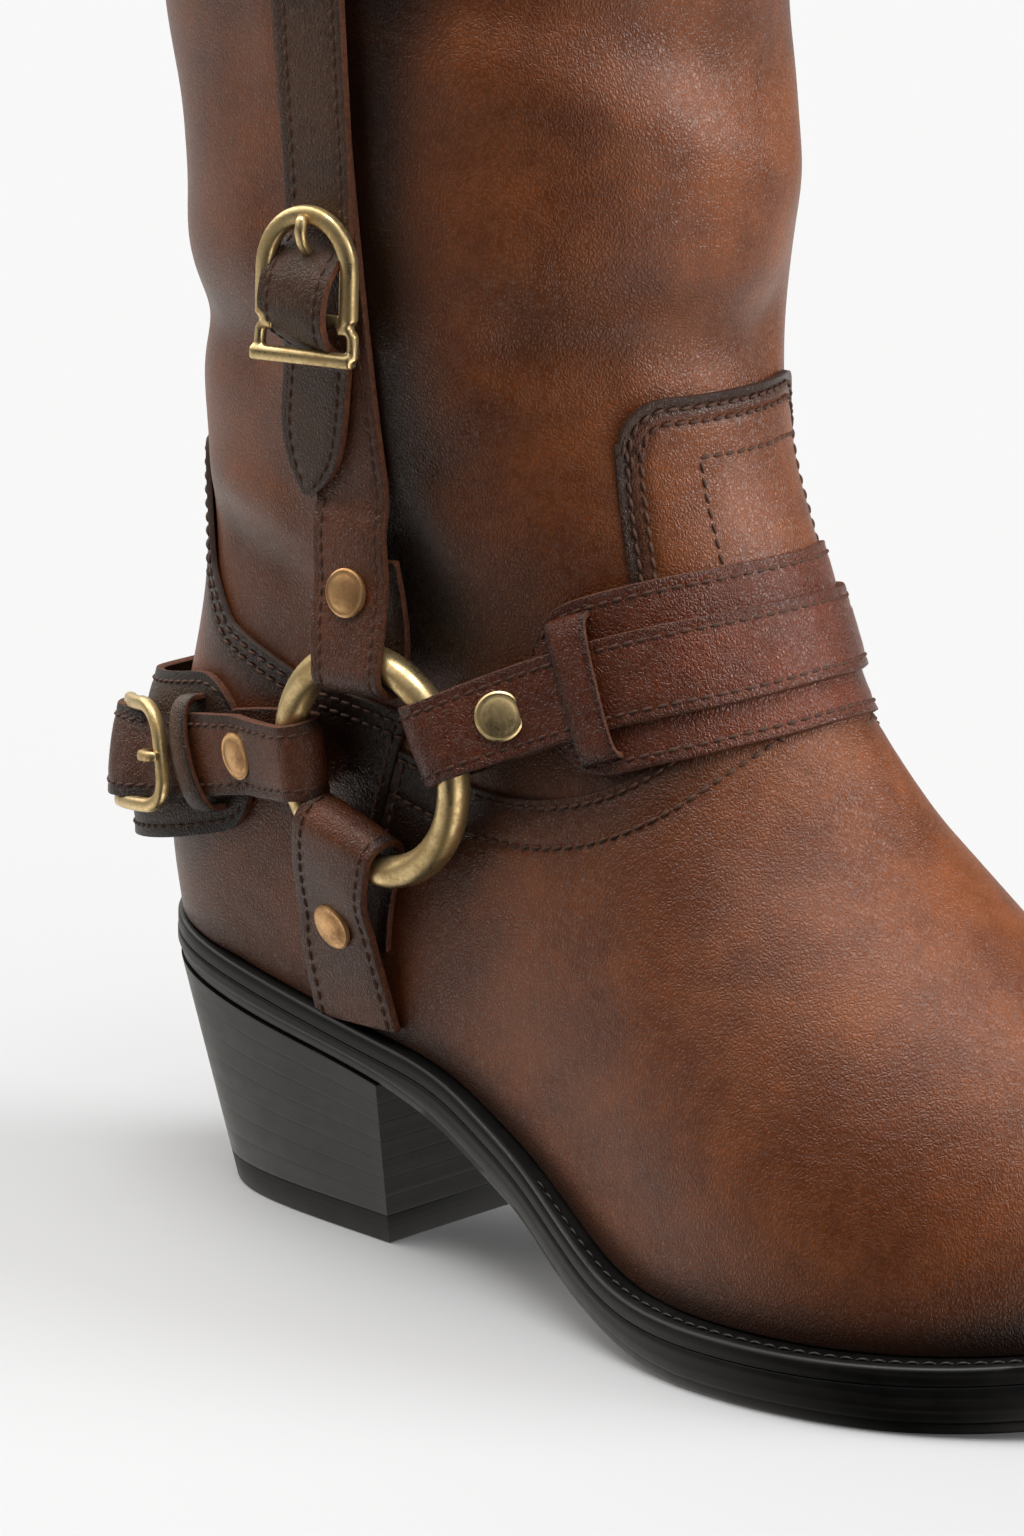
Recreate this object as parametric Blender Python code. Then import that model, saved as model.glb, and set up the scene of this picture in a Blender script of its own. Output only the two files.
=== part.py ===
"""A right-foot harness boot: welted sole, stacked heel, hollow leather upper, rings, straps and buckles.

Tables are in millimetres: x runs from the back of the heel to the toe, y to the inner side, z up.
Objects are placed in metres with the origin at the centre of the heel's ground face.
"""
import bmesh
import bpy
import numpy as np

for thing in list(bpy.data.objects):
    bpy.data.objects.remove(thing, do_unlink=True)

NAME = "harness_boot"
MM = 0.001
HEEL_CENTRE_X = 42.0
GAP = 0.3

# Plan of the sole, one row per station round the edge
SOLE_OUTLINE = (
    # station, x, y
    ("heel_back", -2.0, 0.0),
    ("heel_lateral", 9.0, -22.5),
    ("seat_lateral", 36.0, -31.5),
    ("waist_lateral", 88.0, -33.0),
    ("shank_lateral", 128.0, -38.3),
    ("ball_lateral", 166.0, -44.5),
    ("toe_lateral", 204.0, -37.0),
    ("toe_corner_lateral", 233.0, -15.6),
    ("toe_tip", 245.0, 7.0),
    ("toe_corner_medial", 235.0, 26.5),
    ("toe_medial", 208.0, 39.5),
    ("ball_medial", 176.0, 43.0),
    ("shank_medial", 128.0, 33.0),
    ("waist_medial", 92.0, 27.5),
    ("seat_medial", 36.0, 30.5),
    ("heel_medial", 9.0, 22.0),
)

# Side profile of the sole: height of its top face, of its under face, and its margin beyond the upper
SOLE_PROFILE = (
    # x, top, under, margin
    (-2.0, 55.5, 46.5, 2.4),
    (20.0, 52.0, 42.9, 2.5),
    (42.0, 48.4, 39.3, 2.6),
    (76.0, 42.9, 33.8, 3.0),
    (93.0, 39.5, 28.7, 3.4),
    (104.5, 34.7, 23.5, 3.9),
    (117.0, 28.8, 17.7, 4.4),
    (129.0, 21.7, 10.2, 4.9),
    (142.0, 15.2, 4.5, 5.3),
    (155.0, 12.5, 1.1, 5.6),
    (172.0, 12.0, 0.0, 5.8),
    (207.0, 12.8, 0.0, 5.8),
    (226.0, 14.4, 1.3, 5.7),
    (245.0, 17.5, 4.4, 5.6),
)
TREAD_START = 164.0
TREAD_END = 206.0
WELT_THICK = 3.6
WELT_REACH = 6.8
INSOLE_RISE = 3.0

# Heel block: the seat above and the ground face below
HEEL_BREAST_TOP = 75.0
HEEL_BREAST_FLOOR = 72.0
HEEL_BACK_FLOOR = 12.0
HEEL_TAPER = 0.80
TOP_LIFT = 6.0

# Line of the instep over the foot
RIDGE = (
    # x, z
    (60.0, 190.0),
    (110.0, 168.0),
    (133.0, 145.0),
    (145.0, 130.0),
    (154.0, 116.0),
    (167.0, 102.5),
    (190.0, 84.0),
    (212.0, 68.5),
    (232.0, 55.0),
    (250.0, 46.0),
)
RIDGE_SHIFT = 7.0
TOE_START = 205.0
TOE_POWER = 2.3
TOE_WALL = 16.0
BULGE_LEVEL = 0.24
TUCK = 0.05
FOOT_START = 30.0

# Heel, ankle and shaft, one row per height
LEG = (
    # z, back, widest, front, lateral, medial
    (35.0, 2.0, 33.0, 80.0, 28.0, 27.4),
    (52.0, 0.2, 33.0, 85.0, 29.0, 28.2),
    (70.0, -1.5, 34.0, 92.0, 31.5, 30.5),
    (95.0, 3.0, 40.0, 104.0, 33.0, 32.5),
    (127.0, 11.0, 56.0, 127.0, 36.5, 36.5),
    (152.0, 11.0, 68.0, 138.0, 41.5, 41.5),
    (175.0, 11.0, 72.0, 136.5, 45.0, 45.0),
    (205.0, 8.8, 73.0, 138.0, 47.8, 47.8),
    (240.0, 3.3, 71.0, 135.5, 50.0, 50.0),
    (275.0, -0.7, 69.0, 135.0, 51.5, 51.5),
    (305.0, -2.2, 68.0, 135.0, 52.5, 52.5),
)
LEG_POWER = 2.15
ANKLE_BLEND = 42.0
SIDE_BLEND = 7.0
BLEND_START = 40.0
BLEND_FULL = 95.0
COLLAR = 305.0

# Leather: the form is the outside of the vamp and counter, the upper lies under them
OVERLAY = 1.2
UPPER_DEPTH = OVERLAY + 0.7
WALL = 2.1
FEATHER_RISE = 0.5
TOE_ROOM = 0.5
BALL_X = 150.0
UPPER_AROUND = 46
UPPER_LEVELS = (0.0, 0.02, 0.045, 0.08, 0.12, 0.16, 0.2, 0.24, 0.28, 0.315, 0.35, 0.385, 0.42, 0.46, 0.51, 0.57,
                0.65, 0.75, 0.87, 1.0)

# Overlays: the side seam between them, and the height of their top edges by distance from the heel
SIDE_SEAM = (
    # z, x
    (30.0, 68.0),
    (50.0, 69.0),
    (70.0, 71.5),
    (92.0, 78.0),
    (112.0, 85.0),
)
VAMP_EDGE = (
    # x, z
    (60.0, 104.0),
    (82.0, 100.5),
    (102.0, 97.0),
    (118.0, 98.2),
    (134.0, 103.5),
    (142.0, 109.0),
    (152.0, 120.0),
)
COUNTER_EDGE = (
    # x, z
    (-5.0, 150.5),
    (12.0, 150.5),
    (19.0, 149.5),
    (23.0, 139.0),
    (28.0, 127.5),
    (37.0, 118.5),
    (56.0, 111.5),
    (90.0, 107.0),
)
TONGUE_CENTRE = 2.0
TONGUE_HALF = 24.5
TONGUE_TOP = 173.0
SEAM_GAP = 0.4

# Harness
RING_X = 81.0
RING_Z = 100.0
RING_RADIUS = 20.7
RING_WIRE = 3.1
RING_STAND = 6.4
STRAP = 1.6
STRAP_HALF = 8.4
LIE_GAP = 0.5
LAYER = STRAP + 0.4
INNER_LAYER = 20.5
RIVET_RADIUS = 4.6
RIVET_RISE = 1.9

# Straps that leave a ring: angle of the wire they fold over, distance of the rivet from it
TABS = {
    # name: angle, rivet
    "instep": (25.0, 15.0),
    "shaft": (95.0, 14.5),
    "heel": (182.0, 16.5),
    "sole": (-108.0, 15.0),
}
INSTEP_LINE = ((60.0, 91.0), (81.0, 100.0), (112.0, 114.0), (130.0, 121.5), (150.0, 127.5), (170.0, 130.0))
HEEL_LINE = ((-10.0, 80.0), (5.0, 84.0), (42.0, 94.5), (81.0, 100.0), (100.0, 101.0))
SHAFT_LINE = ((90.0, 80.2), (121.0, 79.2), (171.0, 79.2), (245.0, 76.5), (305.0, 75.5))
SOLE_LINE = ((38.0, 69.5), (52.0, 69.0), (66.0, 69.0), (81.0, 73.0), (105.0, 82.0))
BILLET_LINE = ((120.0, 67.5), (150.0, 71.3), (165.0, 74.6), (190.0, 78.4), (235.0, 79.6), (305.0, 78.8))
BASE_HALF = 16.6
BASE_START = 22.5
KEEPER_PLACE = 33.0
SHAFT_STRAP_TOP = 290.0
SHAFT_BUCKLE_Z = 190.0
BILLET_TIP_Z = 150.0
HEEL_BUCKLE = 52.0
HEEL_KEEPER = 33.5
HEEL_STRAP_HALF = 7.8
SOLE_TAB_HALF = 7.7


def spline(table, column):
    """A natural cubic curve through one column of a table, against its first number."""
    rows = [[v for v in row if not isinstance(v, str)] for row in table]
    xs = np.array([row[0] for row in rows], float)
    ys = np.array([row[column] for row in rows], float)
    step = np.diff(xs)
    count = len(xs)
    system = np.eye(count)
    right = np.zeros(count)
    for i in range(1, count - 1):
        system[i, i - 1:i + 2] = step[i - 1], 2 * (step[i - 1] + step[i]), step[i]
        right[i] = 6 * ((ys[i + 1] - ys[i]) / step[i] - (ys[i] - ys[i - 1]) / step[i - 1])
    bend = np.linalg.solve(system, right)

    def at(x):
        x = np.clip(x, xs[0], xs[-1])
        i = np.clip(np.searchsorted(xs, x) - 1, 0, count - 2)
        after = xs[i + 1] - x
        before = x - xs[i]
        width = step[i]
        cubic = (bend[i] * after ** 3 + bend[i + 1] * before ** 3) / (6 * width)
        start = (ys[i] / width - bend[i] * width / 6) * after
        end = (ys[i + 1] / width - bend[i + 1] * width / 6) * before
        return cubic + start + end

    return at


def closed_curve(points, count):
    """A smooth closed curve through a short list of plan points."""
    p = np.array(points, float)
    ring = np.vstack([p[-4:], p, p[:5]])
    along = np.concatenate([[0.0], np.cumsum(np.linalg.norm(np.diff(ring, axis=0), axis=1) ** 0.5)])
    rows = np.column_stack([along, ring])
    t = np.linspace(along[4], along[4 + len(p)], count, endpoint=False)
    return np.column_stack([spline(rows, 1)(t), spline(rows, 2)(t)])


def unit(v):
    return v / np.maximum(np.linalg.norm(v, axis=-1, keepdims=True), 1e-9)


sole_top = spline(SOLE_PROFILE, 1)
sole_under_curve = spline(SOLE_PROFILE, 2)
sole_margin = spline(SOLE_PROFILE, 3)
ridge_height = spline(RIDGE, 1)
leg_back, leg_widest, leg_front, leg_lateral, leg_medial = (spline(LEG, i) for i in range(1, 6))


def sole_under(x):
    """Under face of the sole: flat on the ground along the tread, never below it."""
    free = np.maximum(sole_under_curve(x), 0.0)
    return np.where((x > TREAD_START) & (x < TREAD_END), 0.0, free)


def edge_branches(inset):
    """The sole's edge moved inwards, as a lateral and a medial branch from heel to toe."""
    plan = closed_curve([row[1:] for row in SOLE_OUTLINE], 720)
    tangent = unit(np.roll(plan, -1, axis=0) - np.roll(plan, 1, axis=0))
    outward = np.column_stack([tangent[:, 1], -tangent[:, 0]])
    if np.sum(outward * (plan - plan.mean(axis=0))) < 0:
        outward = -outward
    moved = plan - outward * np.broadcast_to(inset(plan[:, 0]), (len(plan),))[:, None]
    moved = np.roll(moved, -int(moved[:, 0].argmin()), axis=0)
    tip = int(moved[:, 0].argmax())
    return moved[:tip + 1], np.vstack([moved[tip:], moved[:1]])[::-1]


def edge_loop(inset, stations, front=None):
    """Plan loop of the sole's edge: heel back, lateral stations, toe tip, medial stations."""
    lateral, medial = edge_branches(inset)
    first = lateral[0, 0]
    last = lateral[-1, 0]
    if front is None:
        x = first + (last - first) * (1 - np.cos(np.pi * np.arange(stations + 1) / stations)) / 2
        inner = x[1:-1]
        ends = [lateral[-1:]]
    else:
        inner = first + (front - first) * (1 - np.cos(np.pi / 2 * np.arange(1, stations + 1) / stations))
        ends = []
    side_l = np.column_stack([inner, np.interp(inner, lateral[:, 0], lateral[:, 1])])
    side_m = np.column_stack([inner, np.interp(inner, medial[:, 0], medial[:, 1])])
    return np.vstack([lateral[:1], side_l, *ends, side_m[::-1]])


FEATHER_LATERAL, FEATHER_MEDIAL = edge_branches(sole_margin)
TOE_TIP = FEATHER_LATERAL[-1, 0]


def foot_form(p):
    """Signed size of the foot: arched sections along the sole, closed round the toe."""
    x = np.clip(p[..., 0], FOOT_START, TOE_TIP - 0.05)
    lateral = np.interp(x, FEATHER_LATERAL[:, 0], FEATHER_LATERAL[:, 1])
    medial = np.interp(x, FEATHER_MEDIAL[:, 0], FEATHER_MEDIAL[:, 1])
    half = np.maximum((medial - lateral) / 2, 0.4)
    floor = sole_top(x)
    toe = np.clip((x - TOE_START) / (TOE_TIP - TOE_START), 0, 1)
    rise = TOE_WALL + (ridge_height(x) - floor - TOE_WALL) * (1 - toe ** TOE_POWER) ** (1 / TOE_POWER)
    middle = floor + BULGE_LEVEL * rise
    arch = rise * (1 - BULGE_LEVEL)
    up = np.clip((p[..., 2] - middle) / arch, 0, None)
    low = np.clip((middle - p[..., 2]) / (middle - floor), 0, 1.5)
    lean = RIDGE_SHIFT * np.clip(up, 0, 1) ** 1.5 * np.clip((x - 60) / 100, 0, 1) * (1 - toe)
    across = np.abs(p[..., 1] - (lateral + medial) / 2 - lean) / (half * (1 + TUCK * (1 - low ** 2)))
    size = (np.sqrt(across ** 2 + up ** 2.1) - 1) * np.minimum(half, arch)
    return np.maximum(size, FOOT_START - p[..., 0]) + np.clip(p[..., 0] - x, 0, None)


def leg_form(p):
    """Signed size of the heel, ankle and shaft: one closed section per height."""
    x, y, z = p[..., 0], p[..., 1], p[..., 2]
    widest = leg_widest(z)
    deep = np.where(x < widest, widest - leg_back(z), leg_front(z) - widest)
    wide = np.where(y < 0, leg_lateral(z), leg_medial(z))
    size = (np.abs(x - widest) / deep) ** LEG_POWER + (np.abs(y) / wide) ** LEG_POWER
    return (size ** (1 / LEG_POWER) - 1) * np.minimum(deep, wide)


def slope(form, p):
    here = form(p)
    return np.stack([(form(p + d) - here) / 0.2 for d in 0.2 * np.eye(3)], axis=-1)


def boot_form(p):
    """The foot and the leg joined, with a soft hollow only where they meet at an angle."""
    foot = foot_form(p)
    leg = leg_form(p)
    meeting = np.sum(unit(slope(foot_form, p)) * unit(slope(leg_form, p)), axis=-1)
    forward = np.clip((p[..., 0] - BLEND_START) / (BLEND_FULL - BLEND_START), 0, 1)
    eased = forward * forward * (3 - 2 * forward)
    soft = (SIDE_BLEND + ANKLE_BLEND * np.clip(1 - meeting, 0, 1)) * eased + 1e-6
    near = np.clip(soft - np.abs(foot - leg), 0, None) / soft
    return np.minimum(foot, leg) - near * near * soft / 4


def normal(p):
    return unit(slope(boot_form, p))


def settle(p):
    """Bring points that lie near the form onto it."""
    for _ in range(7):
        g = slope(boot_form, p)
        p = p - (boot_form(p) / np.maximum(np.sum(g * g, axis=-1), 0.05))[..., None] * g
    return p


def reach_out(place, count, far):
    """Outermost point of the form along each path place(distance)."""
    steps = np.linspace(0, far, 70)
    inside = np.stack([boot_form(place(np.full(count, s))) < 0 for s in steps], axis=-1)
    last = len(steps) - 1 - np.argmax(inside[:, ::-1], axis=1)
    near = steps[last]
    off = steps[np.minimum(last + 1, len(steps) - 1)]
    for _ in range(20):
        half = (near + off) / 2
        within = boot_form(place(half)) < 0
        near = np.where(within, half, near)
        off = np.where(within, off, half)
    return place((near + off) / 2)


def sheet_loop(height, centre, directions, far=260.0):
    """Where the form meets a sheet z = height(x), seen along plan directions from a centre."""
    d = unit(np.asarray(directions, float))

    def place(r):
        x = centre + d[:, 0] * r
        return np.column_stack([x, d[:, 1] * r, height(x)])

    return reach_out(place, len(d), far)


def side_points(x, z, side):
    """Points of the form on one side, straight out from the middle plane."""
    x, z = np.broadcast_arrays(np.asarray(x, float), np.asarray(z, float))
    return reach_out(lambda r: np.column_stack([x, side * r, z]), len(x), 70.0)


def level_height(level):
    return lambda x: (1 - level) * sole_top(x) + level * COLLAR


def level_loop(level, angles):
    """One loop of the form at a level between the sole (0) and the collar (1)."""
    ends = sheet_loop(level_height(level), 70.0, [(-1, 0), (1, 0)])
    centre = ends[:, 0].mean()
    half = (ends[1, 0] - ends[0, 0]) / 2
    directions = np.column_stack([half * np.cos(angles), 44.0 * np.sin(angles)])
    return sheet_loop(level_height(level), centre, directions)


parts = bpy.data.collections.new(NAME)
cutters = bpy.data.collections.new(NAME + "_cutters")
bpy.context.scene.collection.children.link(parts)
bpy.context.scene.collection.children.link(cutters)

MATERIALS = {
    # colour, roughness, metallic
    "leather": ((0.16, 0.065, 0.032), 0.45, 0.0),
    "strap_leather": ((0.09, 0.042, 0.022), 0.5, 0.0),
    "sole_stack": ((0.018, 0.014, 0.012), 0.5, 0.0),
    "rubber": ((0.012, 0.011, 0.011), 0.7, 0.0),
    "insole_leather": ((0.35, 0.22, 0.13), 0.7, 0.0),
    "brass": ((0.42, 0.3, 0.13), 0.35, 1.0),
}


def put(name, points, faces, material, collection=parts):
    """Make one named object from points in millimetres, with faces turned outwards."""
    mesh = bpy.data.meshes.new(name)
    placed = (np.asarray(points, float).reshape(-1, 3) - (HEEL_CENTRE_X, 0, 0)) * MM
    mesh.from_pydata(placed.tolist(), [], [tuple(int(i) for i in f) for f in faces])
    work = bmesh.new()
    work.from_mesh(mesh)
    bmesh.ops.recalc_face_normals(work, faces=work.faces)
    work.to_mesh(mesh)
    work.free()
    shade = bpy.data.materials.new(name + "_" + material)
    shade.use_nodes = True
    colour, rough, metal = MATERIALS[material]
    inputs = shade.node_tree.nodes["Principled BSDF"].inputs
    inputs["Base Color"].default_value = (*colour, 1)
    inputs["Roughness"].default_value = rough
    inputs["Metallic"].default_value = metal
    mesh.materials.append(shade)
    thing = bpy.data.objects.new(name, mesh)
    collection.objects.link(thing)
    return thing


def pair_cap(first, count):
    """A cap across a loop: each point joined to its partner on the other side."""
    faces = [(first, first + 1, first + count - 1)]
    i = 1
    while i + 1 < count - i - 1:
        faces.append((first + i, first + i + 1, first + count - i - 1, first + count - i))
        i += 1
    if i + 1 == count - i - 1:
        faces.append((first + i, first + i + 1, first + count - i))
    return faces


def band_faces(rows, count, wrap_rows=False):
    """Side faces between neighbouring closed loops."""
    last = rows if wrap_rows else rows - 1
    faces = []
    for r in range(last):
        a = r * count
        b = ((r + 1) % rows) * count
        faces += [(a + i, a + (i + 1) % count, b + (i + 1) % count, b + i) for i in range(count)]
    return faces


def stack(name, loops, material):
    """A solid of closed loops from bottom to top, capped across at both ends."""
    loops = np.asarray(loops)
    rows, count = loops.shape[:2]
    faces = band_faces(rows, count) + pair_cap(0, count) + pair_cap((rows - 1) * count, count)
    return put(name, loops, faces, material)


def sweep(name, loops, material, ring=False):
    """A solid of section loops along a path, with flat ends, or closed on itself."""
    loops = np.asarray(loops)
    rows, count = loops.shape[:2]
    faces = band_faces(rows, count, ring)
    if not ring:
        faces += [tuple(range(count)), tuple(range((rows - 1) * count, rows * count))]
    return put(name, loops, faces, material)


def shell(name, outer, inner, material, wrap):
    """A wall between an outer and an inner grid of rows and columns."""
    outer = np.asarray(outer)
    rows, cols = outer.shape[:2]
    back = rows * cols
    span = cols if wrap else cols - 1
    faces = []
    for r in range(rows - 1):
        for c in range(span):
            a, b = r * cols + c, r * cols + (c + 1) % cols
            faces += [(a, b, b + cols, a + cols), (back + a, back + a + cols, back + b + cols, back + b)]
    for r in (0, rows - 1):
        for c in range(span):
            a, b = r * cols + c, r * cols + (c + 1) % cols
            faces.append((a, b, back + b, back + a))
    if not wrap:
        for c in (0, cols - 1):
            for r in range(rows - 1):
                a = r * cols + c
                faces.append((a, a + cols, back + a + cols, back + a))
    return put(name, np.concatenate([outer.reshape(-1, 3), np.asarray(inner).reshape(-1, 3)]), faces, material)


def lifted(plan, height):
    return np.column_stack([plan, height(plan[:, 0])])


# Sole: the outsole with its edge step, the welt strip on it, the insole inside the welt
SOLE_STATIONS = 38
edge = edge_loop(lambda x: 0.0 * x, SOLE_STATIONS)
tread = edge_loop(lambda x: 1.6 + 0.0 * x, SOLE_STATIONS)
step_in = edge_loop(lambda x: 0.9 + 0.0 * x, SOLE_STATIONS)


def outsole_top(x):
    return sole_top(x) - WELT_THICK - GAP


stack("outsole", [
    lifted(tread, sole_under),
    lifted(step_in, lambda x: sole_under(x) + 2.4),
    lifted(edge, lambda x: sole_under(x) + 2.9),
    lifted(edge, outsole_top),
], "sole_stack")

welt_inner = edge_loop(lambda x: sole_margin(x) + WELT_REACH, SOLE_STATIONS)
welt_outer = edge_loop(lambda x: 0.4 + 0.0 * x, SOLE_STATIONS)
welt_loops = [
    lifted(welt_outer, lambda x: sole_top(x) - WELT_THICK),
    lifted(welt_outer, lambda x: sole_top(x) - 0.8),
    lifted(edge_loop(lambda x: 1.2 + 0.0 * x, SOLE_STATIONS), sole_top),
    lifted(welt_inner, sole_top),
    lifted(welt_inner, lambda x: sole_top(x) - WELT_THICK),
]
sweep("welt", welt_loops, "sole_stack", ring=True)

plug = edge_loop(lambda x: sole_margin(x) + WELT_REACH + GAP, SOLE_STATIONS)
board = edge_loop(lambda x: sole_margin(x) + UPPER_DEPTH + WALL + TOE_ROOM + 0.7, SOLE_STATIONS)
stack("insole", [
    lifted(plug, lambda x: sole_top(x) - WELT_THICK + GAP),
    lifted(plug, lambda x: sole_top(x) + GAP),
    lifted(board, lambda x: sole_top(x) + GAP),
    lifted(board, lambda x: sole_top(x) + INSOLE_RISE),
], "insole_leather")

# Heel: a tapered block under the seat and a flat top lift on the ground
HEEL_STATIONS = 13
seat = edge_loop(lambda x: 0.6 + 0.0 * x, HEEL_STATIONS, front=HEEL_BREAST_TOP)
forward = (seat[:, 0] - seat[0, 0]) / (HEEL_BREAST_TOP - seat[0, 0])
ground_x = HEEL_BACK_FLOOR + forward * (HEEL_BREAST_FLOOR - HEEL_BACK_FLOOR)
ground = np.column_stack([ground_x, seat[:, 1] * HEEL_TAPER])


def heel_loop(height):
    """Plan of the heel at a height, between its ground face and the seat."""
    top = sole_under(seat[:, 0]) - GAP
    z = height(top)
    part_up = (z / top)[:, None]
    return np.column_stack([ground + (seat - ground) * part_up, z])


stack("heel_stack", [
    heel_loop(lambda top: 0.0 * top + TOP_LIFT + GAP),
    heel_loop(lambda top: 0.5 * top + 3.0),
    heel_loop(lambda top: top),
], "sole_stack")
stack("heel_top_lift", [
    heel_loop(lambda top: 0.0 * top),
    heel_loop(lambda top: 0.0 * top + TOP_LIFT),
], "rubber")

# Upper: loops from the feather line to the collar, a real wall open above and below
angles = np.pi + 2 * np.pi * np.arange(UPPER_AROUND) / UPPER_AROUND
form_rows = np.array([level_loop(level, angles) for level in UPPER_LEVELS])
form_out = normal(form_rows)


def below_form(depth, rise=FEATHER_RISE):
    """The rows moved into the form, their ends kept on the sole and on the collar."""
    toe = np.clip((form_rows[..., :1] - BALL_X) / (TOE_TIP - BALL_X), 0, 1)
    moved = form_rows - (depth + TOE_ROOM * np.sqrt(toe)) * form_out
    moved[0, :, 2] = sole_top(moved[0, :, 0]) + rise
    moved[-1, :, 2] = COLLAR
    return moved


shell("upper", below_form(UPPER_DEPTH), below_form(UPPER_DEPTH + WALL), "leather", wrap=True)

# Overlays: the vamp with its tongue tab, and the counter, cut from the form between seam, edge and feather line
ATLAS_LEVELS = np.concatenate([np.linspace(0, 0.2, 9), np.linspace(0.24, 0.52, 9)])
ATLAS_ANGLES = np.pi + 2 * np.pi * np.arange(97) / 96
atlas = np.array([level_loop(level, ATLAS_ANGLES) for level in ATLAS_LEVELS])
vamp_edge = spline(VAMP_EDGE, 1)
side_seam = spline(SIDE_SEAM, 1)


def counter_edge(x):
    return np.interp(x, [row[0] for row in COUNTER_EDGE], [row[1] for row in COUNTER_EDGE])


def seam_angle(row, first, last, move):
    """Angle where one atlas row crosses the side seam, on the part of the row from first to last."""
    part = atlas[row, first:last + 1]
    offset = part[:, 0] - side_seam(part[:, 2]) - move
    order = np.argsort(offset)
    return np.interp(0.0, offset[order], ATLAS_ANGLES[first:last + 1][order])


def atlas_column(angles_by_row):
    """Form points of a line that takes one angle on each atlas row."""
    turned = np.pi + np.mod(np.asarray(angles_by_row) - np.pi, 2 * np.pi)
    points = [
        [np.interp(angle, ATLAS_ANGLES, atlas[row, :, k]) for k in range(3)]
        for row, angle in enumerate(turned)
    ]
    return np.array(points)


def crossing(column, height):
    """Place along a column, in rows, where it first rises over a height."""
    over = column[:, 2] - height
    high = int(np.argmax(over > 0)) if np.any(over > 0) else len(over) - 1
    return high - 1 + min(1.0, over[high - 1] / (over[high - 1] - over[high]))


def cut_column(column, low_edge, top_edge, share):
    """Even shares of a column between its low edge, or the sole, and its top edge."""
    low = 0.0 if low_edge is None else crossing(column, low_edge(column))
    at = low + np.asarray(share) * (crossing(column, top_edge(column)) - low)
    return np.column_stack([np.interp(at, np.arange(len(column)), column[:, k]) for k in range(3)])


def overlay(name, start, stop, columns, low_edge, top_edge, share):
    """A skin of the form between two lines from sole to top, a low edge and a top edge."""
    lines = [atlas_column(start + (stop - start) * c) for c in columns]
    grid = settle(np.array([cut_column(line, low_edge, top_edge, share) for line in lines]).transpose(1, 0, 2))
    out = normal(grid)
    skins = []
    for depth in (0.0, OVERLAY):
        skin = grid - depth * out
        if low_edge is None:
            skin[0, :, 2] = sole_top(skin[0, :, 0]) + FEATHER_RISE
        skins.append(skin)
    return shell(name, skins[0], skins[1], "leather", wrap=False)


def vamp_top(p):
    return vamp_edge(p[:, 0])


def tongue_low(p):
    return vamp_edge(p[:, 0]) + 3 * SEAM_GAP


def tongue_top(p):
    return np.full(len(p), TONGUE_TOP)


def counter_top(p):
    return counter_edge(p[:, 0])


rows_in_atlas = range(len(ATLAS_LEVELS))
seam_lateral = np.array([[seam_angle(r, 0, 48, m) for r in rows_in_atlas] for m in (-SEAM_GAP, SEAM_GAP)])
seam_medial = np.array([[seam_angle(r, 48, 96, m) for r in rows_in_atlas] for m in (SEAM_GAP, -SEAM_GAP)])
high_row = int(np.argmin(np.abs(ATLAS_LEVELS - 0.42)))
trial = np.linspace(0, 1, 400)
trial_angle = seam_lateral[1, high_row] + (seam_medial[0, high_row] - seam_lateral[1, high_row]) * trial
trial_y = np.interp(trial_angle, ATLAS_ANGLES, atlas[high_row, :, 1])
tongue_sides = (TONGUE_CENTRE - TONGUE_HALF, TONGUE_CENTRE + TONGUE_HALF)
tongue_ends = np.interp(tongue_sides, trial_y[60:340], trial[60:340])
overlay("vamp", seam_lateral[1], seam_medial[0], np.linspace(0, 1, 35), None, vamp_top,
        (0.0, 0.05, 0.11, 0.18, 0.25, 0.32, 0.39, 0.47, 0.56, 0.65, 0.74, 0.83, 0.92, 1.0))
overlay("tongue", seam_lateral[1], seam_medial[0], np.linspace(*tongue_ends, 10), tongue_low, tongue_top,
        (0.0, 0.14, 0.28, 0.42, 0.56, 0.7, 0.85, 1.0))
overlay("counter", seam_medial[1] - 2 * np.pi, seam_lateral[0], np.linspace(0, 1, 31), None, counter_top,
        (0.0, 0.1, 0.23, 0.38, 0.53, 0.68, 0.84, 1.0))


# Harness: a ring on each side, straps folded over its wire and riveted, a buckle on the shaft and at the heel


def ring_frame(side):
    """Centre and axes of a ring that lies along one side, clear of the leather by its stand."""
    turn = np.radians([angle for angle, _ in TABS.values()])
    foot = side_points(RING_X + RING_RADIUS * np.cos(turn), RING_Z + RING_RADIUS * np.sin(turn), side)
    centre = side_points([RING_X], [RING_Z], side)[0]
    out = unit(np.cross(foot[0] - foot[2], foot[1] - foot[3]))
    out = out * np.sign(out[1] * side)
    ahead = unit(np.array([1.0, 0, 0]) - out[0] * out)
    up = np.cross(out, ahead)
    up = up * np.sign(up[2])
    wire = centre + RING_RADIUS * (np.cos(turn)[:, None] * ahead + np.sin(turn)[:, None] * up)
    settled = settle(wire)
    rise = np.sum((wire - settled) * normal(settled), axis=-1)
    return centre + out * (RING_STAND - rise.min()), ahead, up, out


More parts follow.
